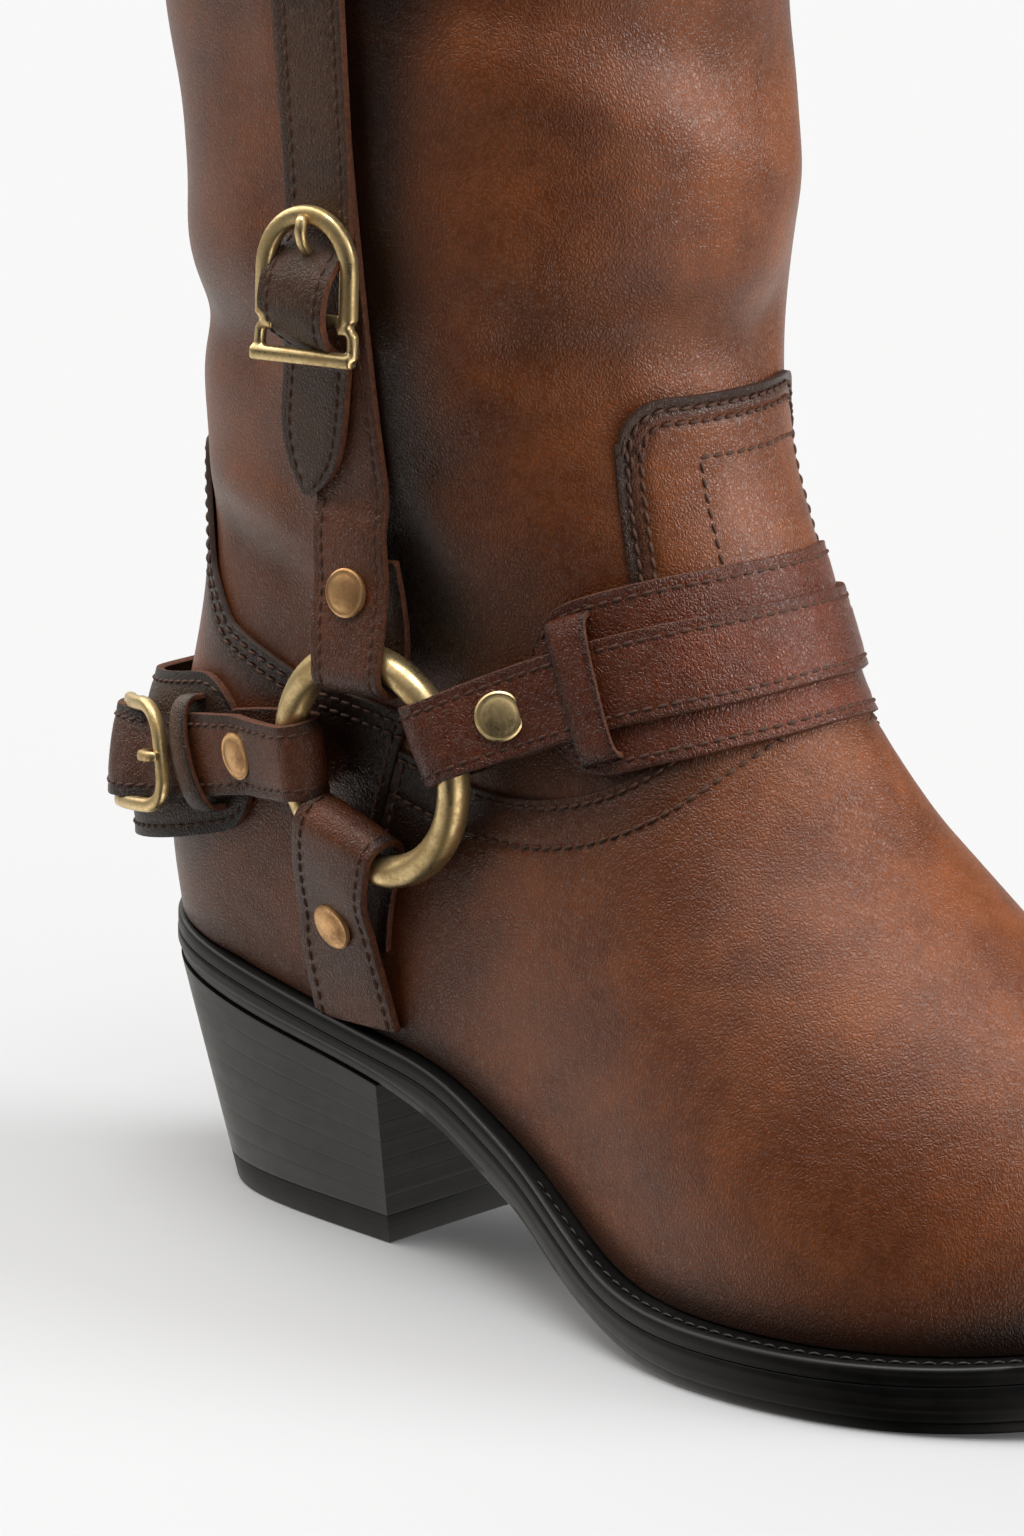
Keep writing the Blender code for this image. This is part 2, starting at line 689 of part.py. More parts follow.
class Line:
    """A line on the form, measured from the ring wire it leaves; gives points beside and above it."""

    def __init__(self, points, ring, tab, end_ring=None):
        self.points = settle(np.asarray(points, float))
        self.along = np.concatenate([[0.0], np.cumsum(np.linalg.norm(np.diff(self.points, axis=0), axis=1))])
        self.rings = [ring] if end_ring is None else [ring, end_ring]
        self.turn = np.radians(TABS[tab][0])
        self.along = self.along - self.wire_foot(0, np.zeros(1))[0][0]
        self.length = self.along[-1] if end_ring is None else self.wire_foot(1, np.zeros(1))[0][0]

    def wire_foot(self, which, v):
        """Distance along the line and height of a ring's wire, v to the side of the line."""
        centre, ahead, up, _ = self.rings[which]
        turned = self.turn + np.radians(np.linspace(-40, 40, 33))
        wire = centre + RING_RADIUS * (np.cos(turned)[:, None] * ahead + np.sin(turned)[:, None] * up)
        foot = settle(wire)
        near = int(np.argmin(np.linalg.norm(self.points - foot[16], axis=1)))
        step = unit(self.points[min(near + 2, len(self.points) - 1)] - self.points[max(near - 2, 0)])
        off = foot - self.points[near]
        beside = off @ np.cross(normal(self.points[near][None])[0], step)
        order = np.argsort(beside)
        along = np.interp(v, beside[order], (self.along[near] + off @ step)[order])
        return along, np.interp(v, beside[order], np.linalg.norm(wire - foot, axis=1)[order])

    def over(self, a, v, h, flat=False):
        """Points a along, v beside and h above the form, with the directions there."""
        a, v, h = (np.asarray(k, float) for k in (a, v, h))
        place = np.stack([np.interp(a, self.along, self.points[:, k]) for k in range(3)], axis=-1)
        before, after = (
            np.stack([np.interp(a + d, self.along, self.points[:, k]) for k in range(3)], axis=-1)
            for d in (-2, 2)
        )
        ahead = unit(after - before)
        out = normal(place)
        beside = np.cross(out, ahead)
        point = place + v[..., None] * beside
        if not flat:
            point = settle(point)
            out = normal(point)
        return point + h[..., None] * out, ahead, beside, out


def section_rows(line, rows, thick, flat=False, across=3):
    """Section loops of a strap. Each row: place, height of its middle, half width, ring it follows or None."""
    share = np.linspace(-1, 1, across)
    place = np.zeros((len(rows), across))
    height = np.zeros((len(rows), across))
    side = np.array([row[2] for row in rows])[:, None] * share
    for i, (a, h, _, ring) in enumerate(rows):
        if ring is None:
            place[i], height[i] = a, h
        else:
            foot, rise = line.wire_foot(ring, side[i])
            place[i] = foot + (a if ring == 0 else -a)
            height[i] = rise + h
    run_a = np.gradient(place, axis=0)
    run_h = np.gradient(height, axis=0)
    size = np.maximum(np.hypot(run_a, run_h), 1e-6)
    point, ahead, _, out = line.over(place, side, height, flat)
    lift = thick / 2 * ((run_a / size)[..., None] * out - (run_h / size)[..., None] * ahead)
    return np.concatenate([point + lift, (point - lift)[:, ::-1]], axis=1)


def strap(name, line, rows, flat=False, across=3):
    return sweep(name, section_rows(line, rows, STRAP, flat, across), "strap_leather")


FOLD = RING_WIRE + 0.9 + STRAP / 2
LOW = LIE_GAP + STRAP / 2
HIGH = LOW + LAYER


def fold_rows(wire, half, inner_end=INNER_LAYER):
    """Rows from the end of the inner layer, round the ring's wire, onto the outer layer."""
    turn = np.radians((270, 225, 180, 135, 90))
    arc = [(FOLD * np.cos(t), FOLD * np.sin(t), half, wire) for t in turn]
    return [(inner_end, LOW, half, None), (9.0, LOW, half, None), *arc, (3.8, 3.4, half, wire),
            (7.0, HIGH + 1.6, half, None), (9.5, HIGH + 0.15, half, None), (13.0, HIGH, half, None)]


def mirrored(line, rows):
    """The same rows seen from the line's far end."""
    return [(a if wire is not None else line.length - a, h, half, 1 if wire is not None else None)
            for a, h, half, wire in reversed(rows)]


def dome(name, line, a, h, radius, rise):
    """A rivet cap standing on a strap."""
    base, ahead, beside, out = line.over(a, 0.0, h)
    turn = 2 * np.pi * np.arange(14) / 14
    flat = radius * (np.cos(turn)[:, None] * ahead + np.sin(turn)[:, None] * beside)
    profile = ((1.0, 0.0), (1.0, 0.28), (0.8, 0.72), (0.4, 1.0))
    return sweep(name, [base + size * flat + rise * up * out for size, up in profile], "brass")


def bridge(name, line, a, half, rows, thick=1.4):
    """A keeper across a strap: rows of side place and height."""
    side, height = np.array(rows, float).T
    run = unit(np.column_stack([np.gradient(side), np.gradient(height)]))
    v, b = np.meshgrid(side, (a - half, a, a + half), indexing="ij")
    point, ahead, beside, out = line.over(b, v, np.broadcast_to(height[:, None], v.shape))
    lift = thick / 2 * (run[:, :1, None] * out - run[:, 1:, None] * beside)
    return sweep(name, np.concatenate([point + lift, (point - lift)[:, ::-1]], axis=1), "strap_leather")


def rod(name, points, radius, sides, material, closed=False):
    """A round bar along points, or a closed ring of it."""
    p = np.asarray(points, float)
    if closed:
        tangent = unit(np.roll(p, -1, axis=0) - np.roll(p, 1, axis=0))
    else:
        tangent = unit(np.gradient(p, axis=0))
    guide = unit(np.cross(p[1] - p[0], p[len(p) // 2] - p[0]) + 1e-6)
    turn = 2 * np.pi * np.arange(sides) / sides
    first = unit(guide - np.sum(guide * tangent, axis=1)[:, None] * tangent)
    second = np.cross(tangent, first)
    size = np.broadcast_to(radius, (len(p),))[:, None, None]
    round_off = np.cos(turn)[None, :, None] * first[:, None] + np.sin(turn)[None, :, None] * second[:, None]
    return sweep(name, p[:, None] + size * round_off, material, ring=closed)


def keeper_rows(top):
    """Side place and height of a keeper, from foot to foot over a strap."""
    low = LOW + STRAP / 2 + 1.2
    feet = [(-15.5, low), (-12.2, low)]
    arch = [(side, top) for side in (-10.2, -5.0, 0.0, 5.0, 10.2)]
    return feet + arch + [(-side, height) for side, height in reversed(feet)]


def girdle(table, first, last, count):
    """Points where the form meets a rising sheet, round from one direction to another."""
    turn = np.radians(np.linspace(first, last, count))
    return sheet_loop(spline(table, 1), 75.0, np.column_stack([np.cos(turn), np.sin(turn)]))


def upright(table, first, last, side, count):
    """Points up or down one side of the form."""
    z = np.linspace(first, last, count)
    return side_points(spline(table, 1)(z), z, side)


def base_rows(line):
    """A wide band from one end to the other, with rounded ends."""
    ends = ((0.0, 8.0), (1.8, 12.4), (5.0, 15.4), (9.0, BASE_HALF))
    first = [(BASE_START + a, LOW, half, None) for a, half in ends]
    last = [(line.length - BASE_START - a, LOW, half, None) for a, half in reversed(ends)]
    middle = np.linspace(first[-1][0], last[0][0], 22)[1:-1]
    return first + [(a, LOW, BASE_HALF, None) for a in middle] + last


frames = {"lateral": ring_frame(-1), "medial": ring_frame(1)}
turn = 2 * np.pi * np.arange(24) / 24
for side, (centre, ahead, up, _) in frames.items():
    circle = centre + RING_RADIUS * (np.cos(turn)[:, None] * ahead + np.sin(turn)[:, None] * up)
    rod("ring_" + side, circle, RING_WIRE, 7, "brass", closed=True)

# Instep: a wide base band over the foot, the narrow strap on it from ring to ring, a keeper on each side
instep = Line(girdle(INSTEP_LINE, -88, 88, 120), frames["lateral"], "instep", frames["medial"])
strap("instep_base", instep, base_rows(instep), across=5)
instep_fold = fold_rows(0, STRAP_HALF)
over_base = np.linspace(13.0, instep.length - 13.0, 28)[1:-1]
strap("instep_strap", instep, instep_fold + [(a, HIGH, STRAP_HALF, None) for a in over_base]
      + mirrored(instep, instep_fold))
bridge("instep_keeper_lateral", instep, KEEPER_PLACE, 5.0, keeper_rows(HIGH + 2.0))
bridge("instep_keeper_medial", instep, instep.length - KEEPER_PLACE, 5.0, keeper_rows(HIGH + 2.0))

# Heel: a wide base band round the back, a strap from each ring, joined by a buckle
heel = Line(girdle(HEEL_LINE, -76, -284, 140), frames["lateral"], "heel", frames["medial"])
strap("heel_base", heel, base_rows(heel), across=5)
heel_fold = fold_rows(0, HEEL_STRAP_HALF)
under_bow = [(a, HIGH, HEEL_STRAP_HALF, None) for a in np.linspace(20.0, HEEL_BUCKLE - 9.0, 6)]
HEEL_TIP = (
    # distance beyond the bar, height over the strap, share of the width
    (-3.5, 3.1, 1.0),
    (0.0, 4.0, 1.0),
    (4.0, 3.4, 1.0),
    (10.0, LAYER + 0.4, 1.0),
    (14.0, LAYER, 1.0),
    (16.5, LAYER, 0.8),
    (18.4, LAYER, 0.35),
)
over_bar = [(HEEL_BUCKLE + a, HIGH + h, share * HEEL_STRAP_HALF, None) for a, h, share in HEEL_TIP]
strap("heel_strap_lateral", heel, heel_fold + under_bow + over_bar)
around = np.linspace(heel.length - 13.0, HEEL_BUCKLE + 2.2, 20)[1:]
strap("heel_strap_medial", heel,
      mirrored(heel, heel_fold)[::-1] + [(a, HIGH, HEEL_STRAP_HALF, None) for a in around])
bridge("heel_keeper", heel, HEEL_KEEPER, 2.4, keeper_rows(HIGH + 2.6))
HEEL_BOW = (
    # distance from the bar, share of the half width
    (0.0, -1.0),
    (7.0, -1.0),
    (10.5, -0.8),
    (12.0, -0.35),
    (12.0, 0.35),
    (10.5, 0.8),
    (7.0, 1.0),
    (0.0, 1.0),
)
reach, share = np.array(HEEL_BOW).T
bow = heel.over(HEEL_BUCKLE - reach, 11.2 * share, HIGH + 1.0 + 0.28 * reach, flat=True)[0]
rod("heel_buckle", bow, 1.6, 6, "brass", closed=True)
prong = heel.over(HEEL_BUCKLE - np.array([3.0, 8.0, 13.5]), np.zeros(3), HIGH + np.array([6.3, 7.0, 7.9]))[0]
rod("heel_prong", prong, np.array([1.1, 1.1, 0.8]), 6, "brass")

# Shaft and sole straps on both sides
for side, sign in (("lateral", -1), ("medial", 1)):
    shaft = Line(upright(SHAFT_LINE, 112.0, 300.0, sign, 80), frames[side], "shaft")
    top = shaft.along[int(np.argmin(np.abs(shaft.points[:, 2] - SHAFT_STRAP_TOP)))]
    lie = LOW - UPPER_DEPTH
    rise = [(19.0, HIGH, STRAP_HALF, None), (22.5, HIGH - 1.1, STRAP_HALF, None)]
    rise += [(26.0, lie + 0.4, STRAP_HALF, None)]
    rise += [(a, lie, STRAP_HALF, None) for a in np.linspace(30.0, top, 16)]
    strap("shaft_strap_" + side, shaft, fold_rows(0, STRAP_HALF, 18.5) + rise)
    sole = Line(upright(SOLE_LINE, 95.0, 44.0, sign, 60), frames[side], "sole")
    low = sole.along[int(np.argmin(np.abs(sole.points[:, 2] - sole_top(sole.points[:, 0]) - 3.6)))]
    fall = [(20.5, HIGH, 9.8, None), (low * 0.86, LOW + 1.2, 10.3, None), (low, LOW + 0.6, 10.8, None)]
    strap("sole_strap_" + side, sole, fold_rows(0, SOLE_TAB_HALF, 20.0) + fall, across=5)
    for tab, line in (("instep", instep), ("heel", heel), ("shaft", shaft), ("sole", sole)):
        crossing_strap = tab in ("instep", "heel") and sign > 0
        a = line.length - TABS[tab][1] if crossing_strap else TABS[tab][1]
        dome("rivet_%s_%s" % (tab, side), line, a, HIGH + STRAP / 2 + 0.45, RIVET_RADIUS, RIVET_RISE)

# Shaft buckle: a horseshoe plate with two windows, the billet woven through it, a prong on the bow
billet = Line(upright(BILLET_LINE, 112.0, 300.0, -1, 90), frames["lateral"], "shaft")


def billet_place(z):
    return np.interp(z, billet.points[:, 2], billet.along)


REST = LOW - UPPER_DEPTH + LAYER + 0.2
PLATE = REST + STRAP / 2 + 0.6
PLATE_THICK = 3.0
weave = (
    # height of the boot, height over the form, share of the width
    (BILLET_TIP_Z, REST, 0.25),
    (BILLET_TIP_Z + 3.0, REST, 0.62),
    (BILLET_TIP_Z + 8.0, REST, 1.0),
    (166.0, REST, 1.0),
    (SHAFT_BUCKLE_Z - 10.0, REST, 1.0),
    (SHAFT_BUCKLE_Z - 5.2, PLATE + 3.4, 1.0),
    (SHAFT_BUCKLE_Z - 2.6, PLATE + 4.0, 1.0),
    (SHAFT_BUCKLE_Z - 0.2, PLATE + 3.6, 1.0),
    (SHAFT_BUCKLE_Z + 6.4, REST + 0.1, 1.0),
    (SHAFT_BUCKLE_Z + 17.0, REST, 1.0),
    (225.0, REST, 1.0),
    (250.0, REST, 1.0),
    (270.0, REST, 1.0),
    (SHAFT_STRAP_TOP, REST, 1.0),
)
woven = [(billet_place(z), h, share * STRAP_HALF, None) for z, h, share in weave]
strap("shaft_billet", billet, woven, flat=True)
middle, ahead, beside, out = billet.over(billet_place(SHAFT_BUCKLE_Z), 0.0, PLATE, flat=True)


def plate(name, outline, low, high, material, collection=parts):
    """A flat prism on the buckle's plane from an outline of side and height."""
    flat = middle + np.array(outline)[:, :1] * beside + np.array(outline)[:, 1:] * ahead
    loops = np.array([flat + low * out, flat + high * out])
    count = len(outline)
    faces = band_faces(2, count) + [tuple(range(count)), tuple(range(count, 2 * count))]
    return put(name, loops, faces, material, collection)


def bow_outline(half, floor, spring):
    """A horseshoe: straight sides from a floor up to the spring of a round bow."""
    arc = np.radians(np.linspace(0, 180, 15))
    return [(half, floor)] + [(half * np.cos(t), spring + half * np.sin(t)) for t in arc] + [(-half, floor)]


def window_outline(half, floor, top):
    return [(half, floor), (half, top), (-half, top), (-half, floor)]


WINDOW = 9.3
ABOVE = PLATE_THICK + 1
shaft_buckle = plate("shaft_buckle", bow_outline(12.8, -13.6, 3.0), 0.0, PLATE_THICK, "brass")
windows = (
    plate("window_bow", bow_outline(WINDOW, -1.0, 3.0), -1.0, ABOVE, "brass", cutters),
    plate("window_strap", window_outline(WINDOW, -10.2, -4.2), -1.0, ABOVE, "brass", cutters),
    plate("bar_step", window_outline(WINDOW, -5.0, 0.0), 2.0, ABOVE, "brass", cutters),
)
for cutter in windows:
    cutter.hide_render = True
    cutter.display_type = "WIRE"
    cut = shaft_buckle.modifiers.new(cutter.name, "BOOLEAN")
    cut.operation = "DIFFERENCE"
    cut.solver = "EXACT"
    cut.object = cutter
tip = billet.over(billet_place(SHAFT_BUCKLE_Z + np.array([6.0, 11.0, 17.2])), np.zeros(3),
                  PLATE + np.array([3.4, 4.0, 4.6]), flat=True)[0]
rod("shaft_prong", tip, np.array([1.1, 1.1, 0.8]), 6, "brass")
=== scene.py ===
# %% [markdown]
# A harness boot is dressed here around its imported solids. The solids give every size and place.
# This lesson makes each piece again as a maker would see it close up: lasted leather with soft folds,
# cut strap edges, thread, antique brass and a blackened stacked heel.
# The imported model is loaded first, with the placement of each solid baked into its mesh.

# %% Load the imported solids as a fixed frame
import math

import bpy
import numpy as np
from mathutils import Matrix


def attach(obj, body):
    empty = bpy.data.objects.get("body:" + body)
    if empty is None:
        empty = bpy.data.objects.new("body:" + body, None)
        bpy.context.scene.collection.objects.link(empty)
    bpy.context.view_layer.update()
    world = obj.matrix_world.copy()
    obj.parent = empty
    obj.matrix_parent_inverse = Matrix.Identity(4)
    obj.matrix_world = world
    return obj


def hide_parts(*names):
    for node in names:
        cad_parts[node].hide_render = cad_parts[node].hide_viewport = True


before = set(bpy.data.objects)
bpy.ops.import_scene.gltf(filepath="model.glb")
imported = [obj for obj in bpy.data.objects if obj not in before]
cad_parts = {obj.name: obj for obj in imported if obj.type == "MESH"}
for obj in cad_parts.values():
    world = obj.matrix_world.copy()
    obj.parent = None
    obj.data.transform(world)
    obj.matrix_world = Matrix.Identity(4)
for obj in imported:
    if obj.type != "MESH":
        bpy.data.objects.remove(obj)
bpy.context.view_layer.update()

# %% [markdown]
# The last is the wooden form a boot is shaped on, and every piece of leather here lies on it.
# It could be sculpted by hand, but a few tables say it more exactly: the sole's plan and profile, the
# line of the instep, and one closed section of the leg for each height.
# The tables are in millimetres: x from the back of the heel to the toe, y to the inner side, z up.

# %% Tables of the last
MM = 0.001
HEEL_CENTRE_X = 42.0
SOLE_PLAN = (
    (-2.0, 0.0), (9.0, -22.5), (36.0, -31.5), (88.0, -33.0), (128.0, -38.3), (166.0, -44.5), (204.0, -37.0),
    (233.0, -15.6), (245.0, 7.0), (235.0, 26.5), (208.0, 39.5), (176.0, 43.0), (128.0, 33.0), (92.0, 27.5),
    (36.0, 30.5), (9.0, 22.0),
)
SOLE_PROFILE = (
    # x, top, under, margin beyond the upper
    (-2.0, 55.5, 46.5, 2.4),
    (20.0, 52.0, 42.9, 2.5),
    (42.0, 48.4, 39.3, 2.6),
    (76.0, 42.9, 33.8, 3.0),
    (93.0, 39.5, 28.7, 3.4),
    (104.5, 34.7, 23.5, 3.9),
    (117.0, 28.8, 17.7, 4.4),
    (129.0, 21.7, 10.2, 4.9),
    (142.0, 15.2, 4.5, 5.3),
    (155.0, 12.5, 1.1, 5.6),
    (172.0, 12.0, 0.0, 5.8),
    (207.0, 12.8, 0.0, 5.8),
    (226.0, 14.4, 1.3, 5.7),
    (245.0, 17.5, 4.4, 5.6),
)
TREAD = (164.0, 206.0)
RIDGE = (
    # x, z
    (60.0, 190.0), (110.0, 168.0), (133.0, 145.0), (145.0, 130.0), (154.0, 116.0), (167.0, 102.5),
    (190.0, 84.0), (212.0, 68.5), (232.0, 55.0), (250.0, 46.0),
)
LEG = (
    # z, back, widest, front, lateral, medial
    (35.0, 2.0, 33.0, 80.0, 28.0, 27.4),
    (52.0, 0.2, 33.0, 85.0, 29.0, 28.2),
    (70.0, -1.5, 34.0, 92.0, 31.5, 30.5),
    (95.0, 3.0, 40.0, 104.0, 33.0, 32.5),
    (127.0, 11.0, 56.0, 127.0, 36.5, 36.5),
    (152.0, 11.0, 68.0, 138.0, 41.5, 41.5),
    (175.0, 11.0, 72.0, 136.5, 45.0, 45.0),
    (205.0, 8.8, 73.0, 138.0, 47.8, 47.8),
    (240.0, 3.3, 71.0, 135.5, 50.0, 50.0),
    (275.0, -0.7, 69.0, 135.0, 51.5, 51.5),
    (305.0, -2.2, 68.0, 135.0, 52.5, 52.5),
)
RIDGE_SHIFT = 7.0
LEAN_START, LEAN_RUN = 60.0, 100.0
ARCH_POWER = 2.1
TOE_START = 205.0
TOE_POWER = 2.3
TOE_WALL = 16.0
BULGE_LEVEL = 0.24
TUCK = 0.05
FOOT_START = 30.0
LEG_POWER = 2.15
ANKLE_BLEND = 42.0
SIDE_BLEND = 7.0
BLEND = (40.0, 95.0)
COLLAR = 305.0
FAR = 260.0
PROBE = 0.2
print("sole stations:", len(SOLE_PROFILE), "leg heights:", len(LEG))

# %% [markdown]
# A smooth curve through each column of a table is a natural cubic, as a bent batten lies.
# The foot and the leg are two fields that are negative inside, and the boot is their soft union.


# %% Curves and the form of the boot
class Batten:
    """A natural cubic through knots, for one or many columns of values."""

    def __init__(self, knots, values):
        self.x = np.asarray(knots, float)
        self.y = np.asarray(values, float)
        step = np.diff(self.x)
        count = len(self.x)
        system = np.eye(count)
        right = np.zeros(self.y.shape)
        for i in range(1, count - 1):
            system[i, i - 1:i + 2] = step[i - 1], 2 * (step[i - 1] + step[i]), step[i]
            right[i] = 6 * ((self.y[i + 1] - self.y[i]) / step[i] - (self.y[i] - self.y[i - 1]) / step[i - 1])
        self.bend = np.linalg.solve(system, right.reshape(count, -1)).reshape(self.y.shape)

    def __call__(self, at):
        at = np.clip(np.asarray(at, float), self.x[0], self.x[-1])
        i = np.clip(np.searchsorted(self.x, at) - 1, 0, len(self.x) - 2)
        more = (...,) + (None,) * (self.y.ndim - 1)
        width = (self.x[i + 1] - self.x[i])[more]
        after = self.x[i + 1][more] - at[more]
        before = at[more] - self.x[i][more]
        cubic = (self.bend[i] * after ** 3 + self.bend[i + 1] * before ** 3) / (6 * width)
        low = (self.y[i] / width - self.bend[i] * width / 6) * after
        return cubic + low + (self.y[i + 1] / width - self.bend[i + 1] * width / 6) * before


def column(table, index):
    return Batten([row[0] for row in table], [row[index] for row in table])


def unit(v):
    return v / np.maximum(np.linalg.norm(v, axis=-1, keepdims=True), 1e-9)


def lengths_along(points, power=1.0):
    """Distance walked along a line of points, from 0 at its start."""
    steps = np.linalg.norm(np.diff(points, axis=0), axis=1)
    return np.concatenate([[0.0], np.cumsum(steps ** power)])


def read_along(at, knots, points):
    """Points of a line at distances along it."""
    return np.stack([np.interp(at, knots, points[:, k]) for k in range(3)], axis=-1)


def eased(x, low, high):
    """0 before low, 1 after high, and a soft step between."""
    t = np.clip((np.asarray(x, float) - low) / (high - low), 0, 1)
    return t * t * (3 - 2 * t)


sole_top, sole_under_curve, sole_margin = (column(SOLE_PROFILE, i) for i in (1, 2, 3))
ridge_height = column(RIDGE, 1)
leg_back, leg_widest, leg_front, leg_lateral, leg_medial = (column(LEG, i) for i in range(1, 6))


def sole_under(x):
    free = np.maximum(sole_under_curve(x), 0.0)
    return np.where((x > TREAD[0]) & (x < TREAD[1]), 0.0, free)


def edge_branches(inset):
    """The sole's edge moved inwards, as a lateral and a medial branch from heel to toe."""
    p = np.array(SOLE_PLAN)
    ring = np.vstack([p[-4:], p, p[:5]])
    along = lengths_along(ring, 0.5)
    plan = Batten(along, ring)(np.linspace(along[4], along[4 + len(p)], 1440, endpoint=False))
    tangent = unit(np.roll(plan, -1, axis=0) - np.roll(plan, 1, axis=0))
    outward = np.column_stack([tangent[:, 1], -tangent[:, 0]])
    outward *= np.sign(np.sum(outward * (plan - plan.mean(axis=0))))
    moved = plan - outward * np.broadcast_to(inset(plan[:, 0]), (len(plan),))[:, None]
    moved = np.roll(moved, -int(moved[:, 0].argmin()), axis=0)
    tip = int(moved[:, 0].argmax())
    return moved[:tip + 1], np.vstack([moved[tip:], moved[:1]])[::-1]


FEATHER_LATERAL, FEATHER_MEDIAL = edge_branches(sole_margin)
TOE_TIP = FEATHER_LATERAL[-1, 0]


def foot_form(p):
    """Signed size of the foot: arched sections along the sole, closed round the toe."""
    x = np.clip(p[..., 0], FOOT_START, TOE_TIP - 0.05)
    lateral = np.interp(x, FEATHER_LATERAL[:, 0], FEATHER_LATERAL[:, 1])
    medial = np.interp(x, FEATHER_MEDIAL[:, 0], FEATHER_MEDIAL[:, 1])
    half = np.maximum((medial - lateral) / 2, 0.4)
    floor = sole_top(x)
    toe = np.clip((x - TOE_START) / (TOE_TIP - TOE_START), 0, 1)
    rise = TOE_WALL + (ridge_height(x) - floor - TOE_WALL) * (1 - toe ** TOE_POWER) ** (1 / TOE_POWER)
    middle = floor + BULGE_LEVEL * rise
    arch = rise * (1 - BULGE_LEVEL)
    up = np.clip((p[..., 2] - middle) / arch, 0, None)
    low = np.clip((middle - p[..., 2]) / (middle - floor), 0, 1.5)
    lean = RIDGE_SHIFT * np.clip(up, 0, 1) ** 1.5 * np.clip((x - LEAN_START) / LEAN_RUN, 0, 1) * (1 - toe)
    across = np.abs(p[..., 1] - (lateral + medial) / 2 - lean) / (half * (1 + TUCK * (1 - low ** 2)))
    size = (np.sqrt(across ** 2 + up ** ARCH_POWER) - 1) * np.minimum(half, arch)
    return np.maximum(size, FOOT_START - p[..., 0]) + np.clip(p[..., 0] - x, 0, None)


def leg_form(p):
    """Signed size of the heel, ankle and shaft: one closed section per height."""
    x, y, z = p[..., 0], p[..., 1], p[..., 2]
    widest = leg_widest(z)
    deep = np.where(x < widest, widest - leg_back(z), leg_front(z) - widest)
    wide = np.where(y < 0, leg_lateral(z), leg_medial(z))
    size = (np.abs(x - widest) / deep) ** LEG_POWER + (np.abs(y) / wide) ** LEG_POWER
    return (size ** (1 / LEG_POWER) - 1) * np.minimum(deep, (leg_lateral(z) + leg_medial(z)) / 2)


def slope(form, p):
    here = form(p)
    return np.stack([(form(p + d) - here) / PROBE for d in PROBE * np.eye(3)], axis=-1)


def boot_form(p):
    """The foot and the leg joined, with a soft hollow where they meet at an angle."""
    foot = foot_form(p)
    leg = leg_form(p)
    meeting = np.sum(unit(slope(foot_form, p)) * unit(slope(leg_form, p)), axis=-1)
    soft = (SIDE_BLEND + ANKLE_BLEND * np.clip(1 - meeting, 0, 1)) * eased(p[..., 0], *BLEND) + 1e-6
    near = np.clip(soft - np.abs(foot - leg), 0, None) / soft
    return np.minimum(foot, leg) - near * near * soft / 4


def normal(p):
    return unit(slope(boot_form, p))


def settle(p, rounds=4):
    """Bring points that lie near the form onto it."""
    for _ in range(rounds):
        g = slope(boot_form, p)
        p = p - (boot_form(p) / np.maximum(np.sum(g * g, axis=-1), 0.05))[..., None] * g
    return p


def reach_out(place, count, far):
    """Outermost point of the form along each path place(distance)."""
    steps = np.linspace(0, far, 70)
    inside = np.stack([boot_form(place(np.full(count, s))) < 0 for s in steps], axis=-1)
    last = len(steps) - 1 - np.argmax(inside[:, ::-1], axis=1)
    near = steps[last]
    off = steps[np.minimum(last + 1, len(steps) - 1)]
    for _ in range(18):
        half = (near + off) / 2
        within = boot_form(place(half)) < 0
        near = np.where(within, half, near)
        off = np.where(within, off, half)
    return place((near + off) / 2)


def sheet_loop(height, centre, directions):
    """Where the form meets a sheet z = height(x), seen along plan directions from a centre."""
    d = unit(np.asarray(directions, float))

    def place(r):
        x = centre + d[:, 0] * r
        return np.column_stack([x, d[:, 1] * r, height(x)])

    return reach_out(place, len(d), FAR)


def side_points(x, z, side):
    """Points of the form on one side, straight out from the middle plane."""
    x, z = np.broadcast_arrays(np.asarray(x, float), np.asarray(z, float))
    return reach_out(lambda r: np.column_stack([x, side * r, z]), len(x), 70.0)


print("toe tip of the upper at x", round(float(TOE_TIP), 1), "mm")

# %% [markdown]
# Finding the surface of a field takes many trials for each point, so it is done once, on a net of
# levels from the sole to the collar and turns round the boot. A spline then makes the net fine, and
# any piece of leather can look up a place on it, with the direction that points outwards there.

# %% A fine net over the last
NET_TURNS = 144
NET_CENTRE = 70.0
NET_SIDE = 44.0
LEVELS = np.concatenate([np.linspace(0, 0.5, 46), np.linspace(0.5, 1, 19)[1:]])
FINE_LEVELS = np.concatenate([np.linspace(0, 0.5, 241), np.linspace(0.5, 1, 161)[1:]])
FINE_TURNS = 720


def net_points(levels, centres, directions):
    """Points of the form for every level, along plan directions from each level's centre."""
    lanes = directions.shape[1]
    level = np.repeat(levels, lanes)

    def height(x):
        return (1 - level) * sole_top(x) + level * COLLAR

    found = sheet_loop(height, np.repeat(centres, lanes), directions.reshape(-1, 2))
    return found.reshape(len(levels), lanes, 3)


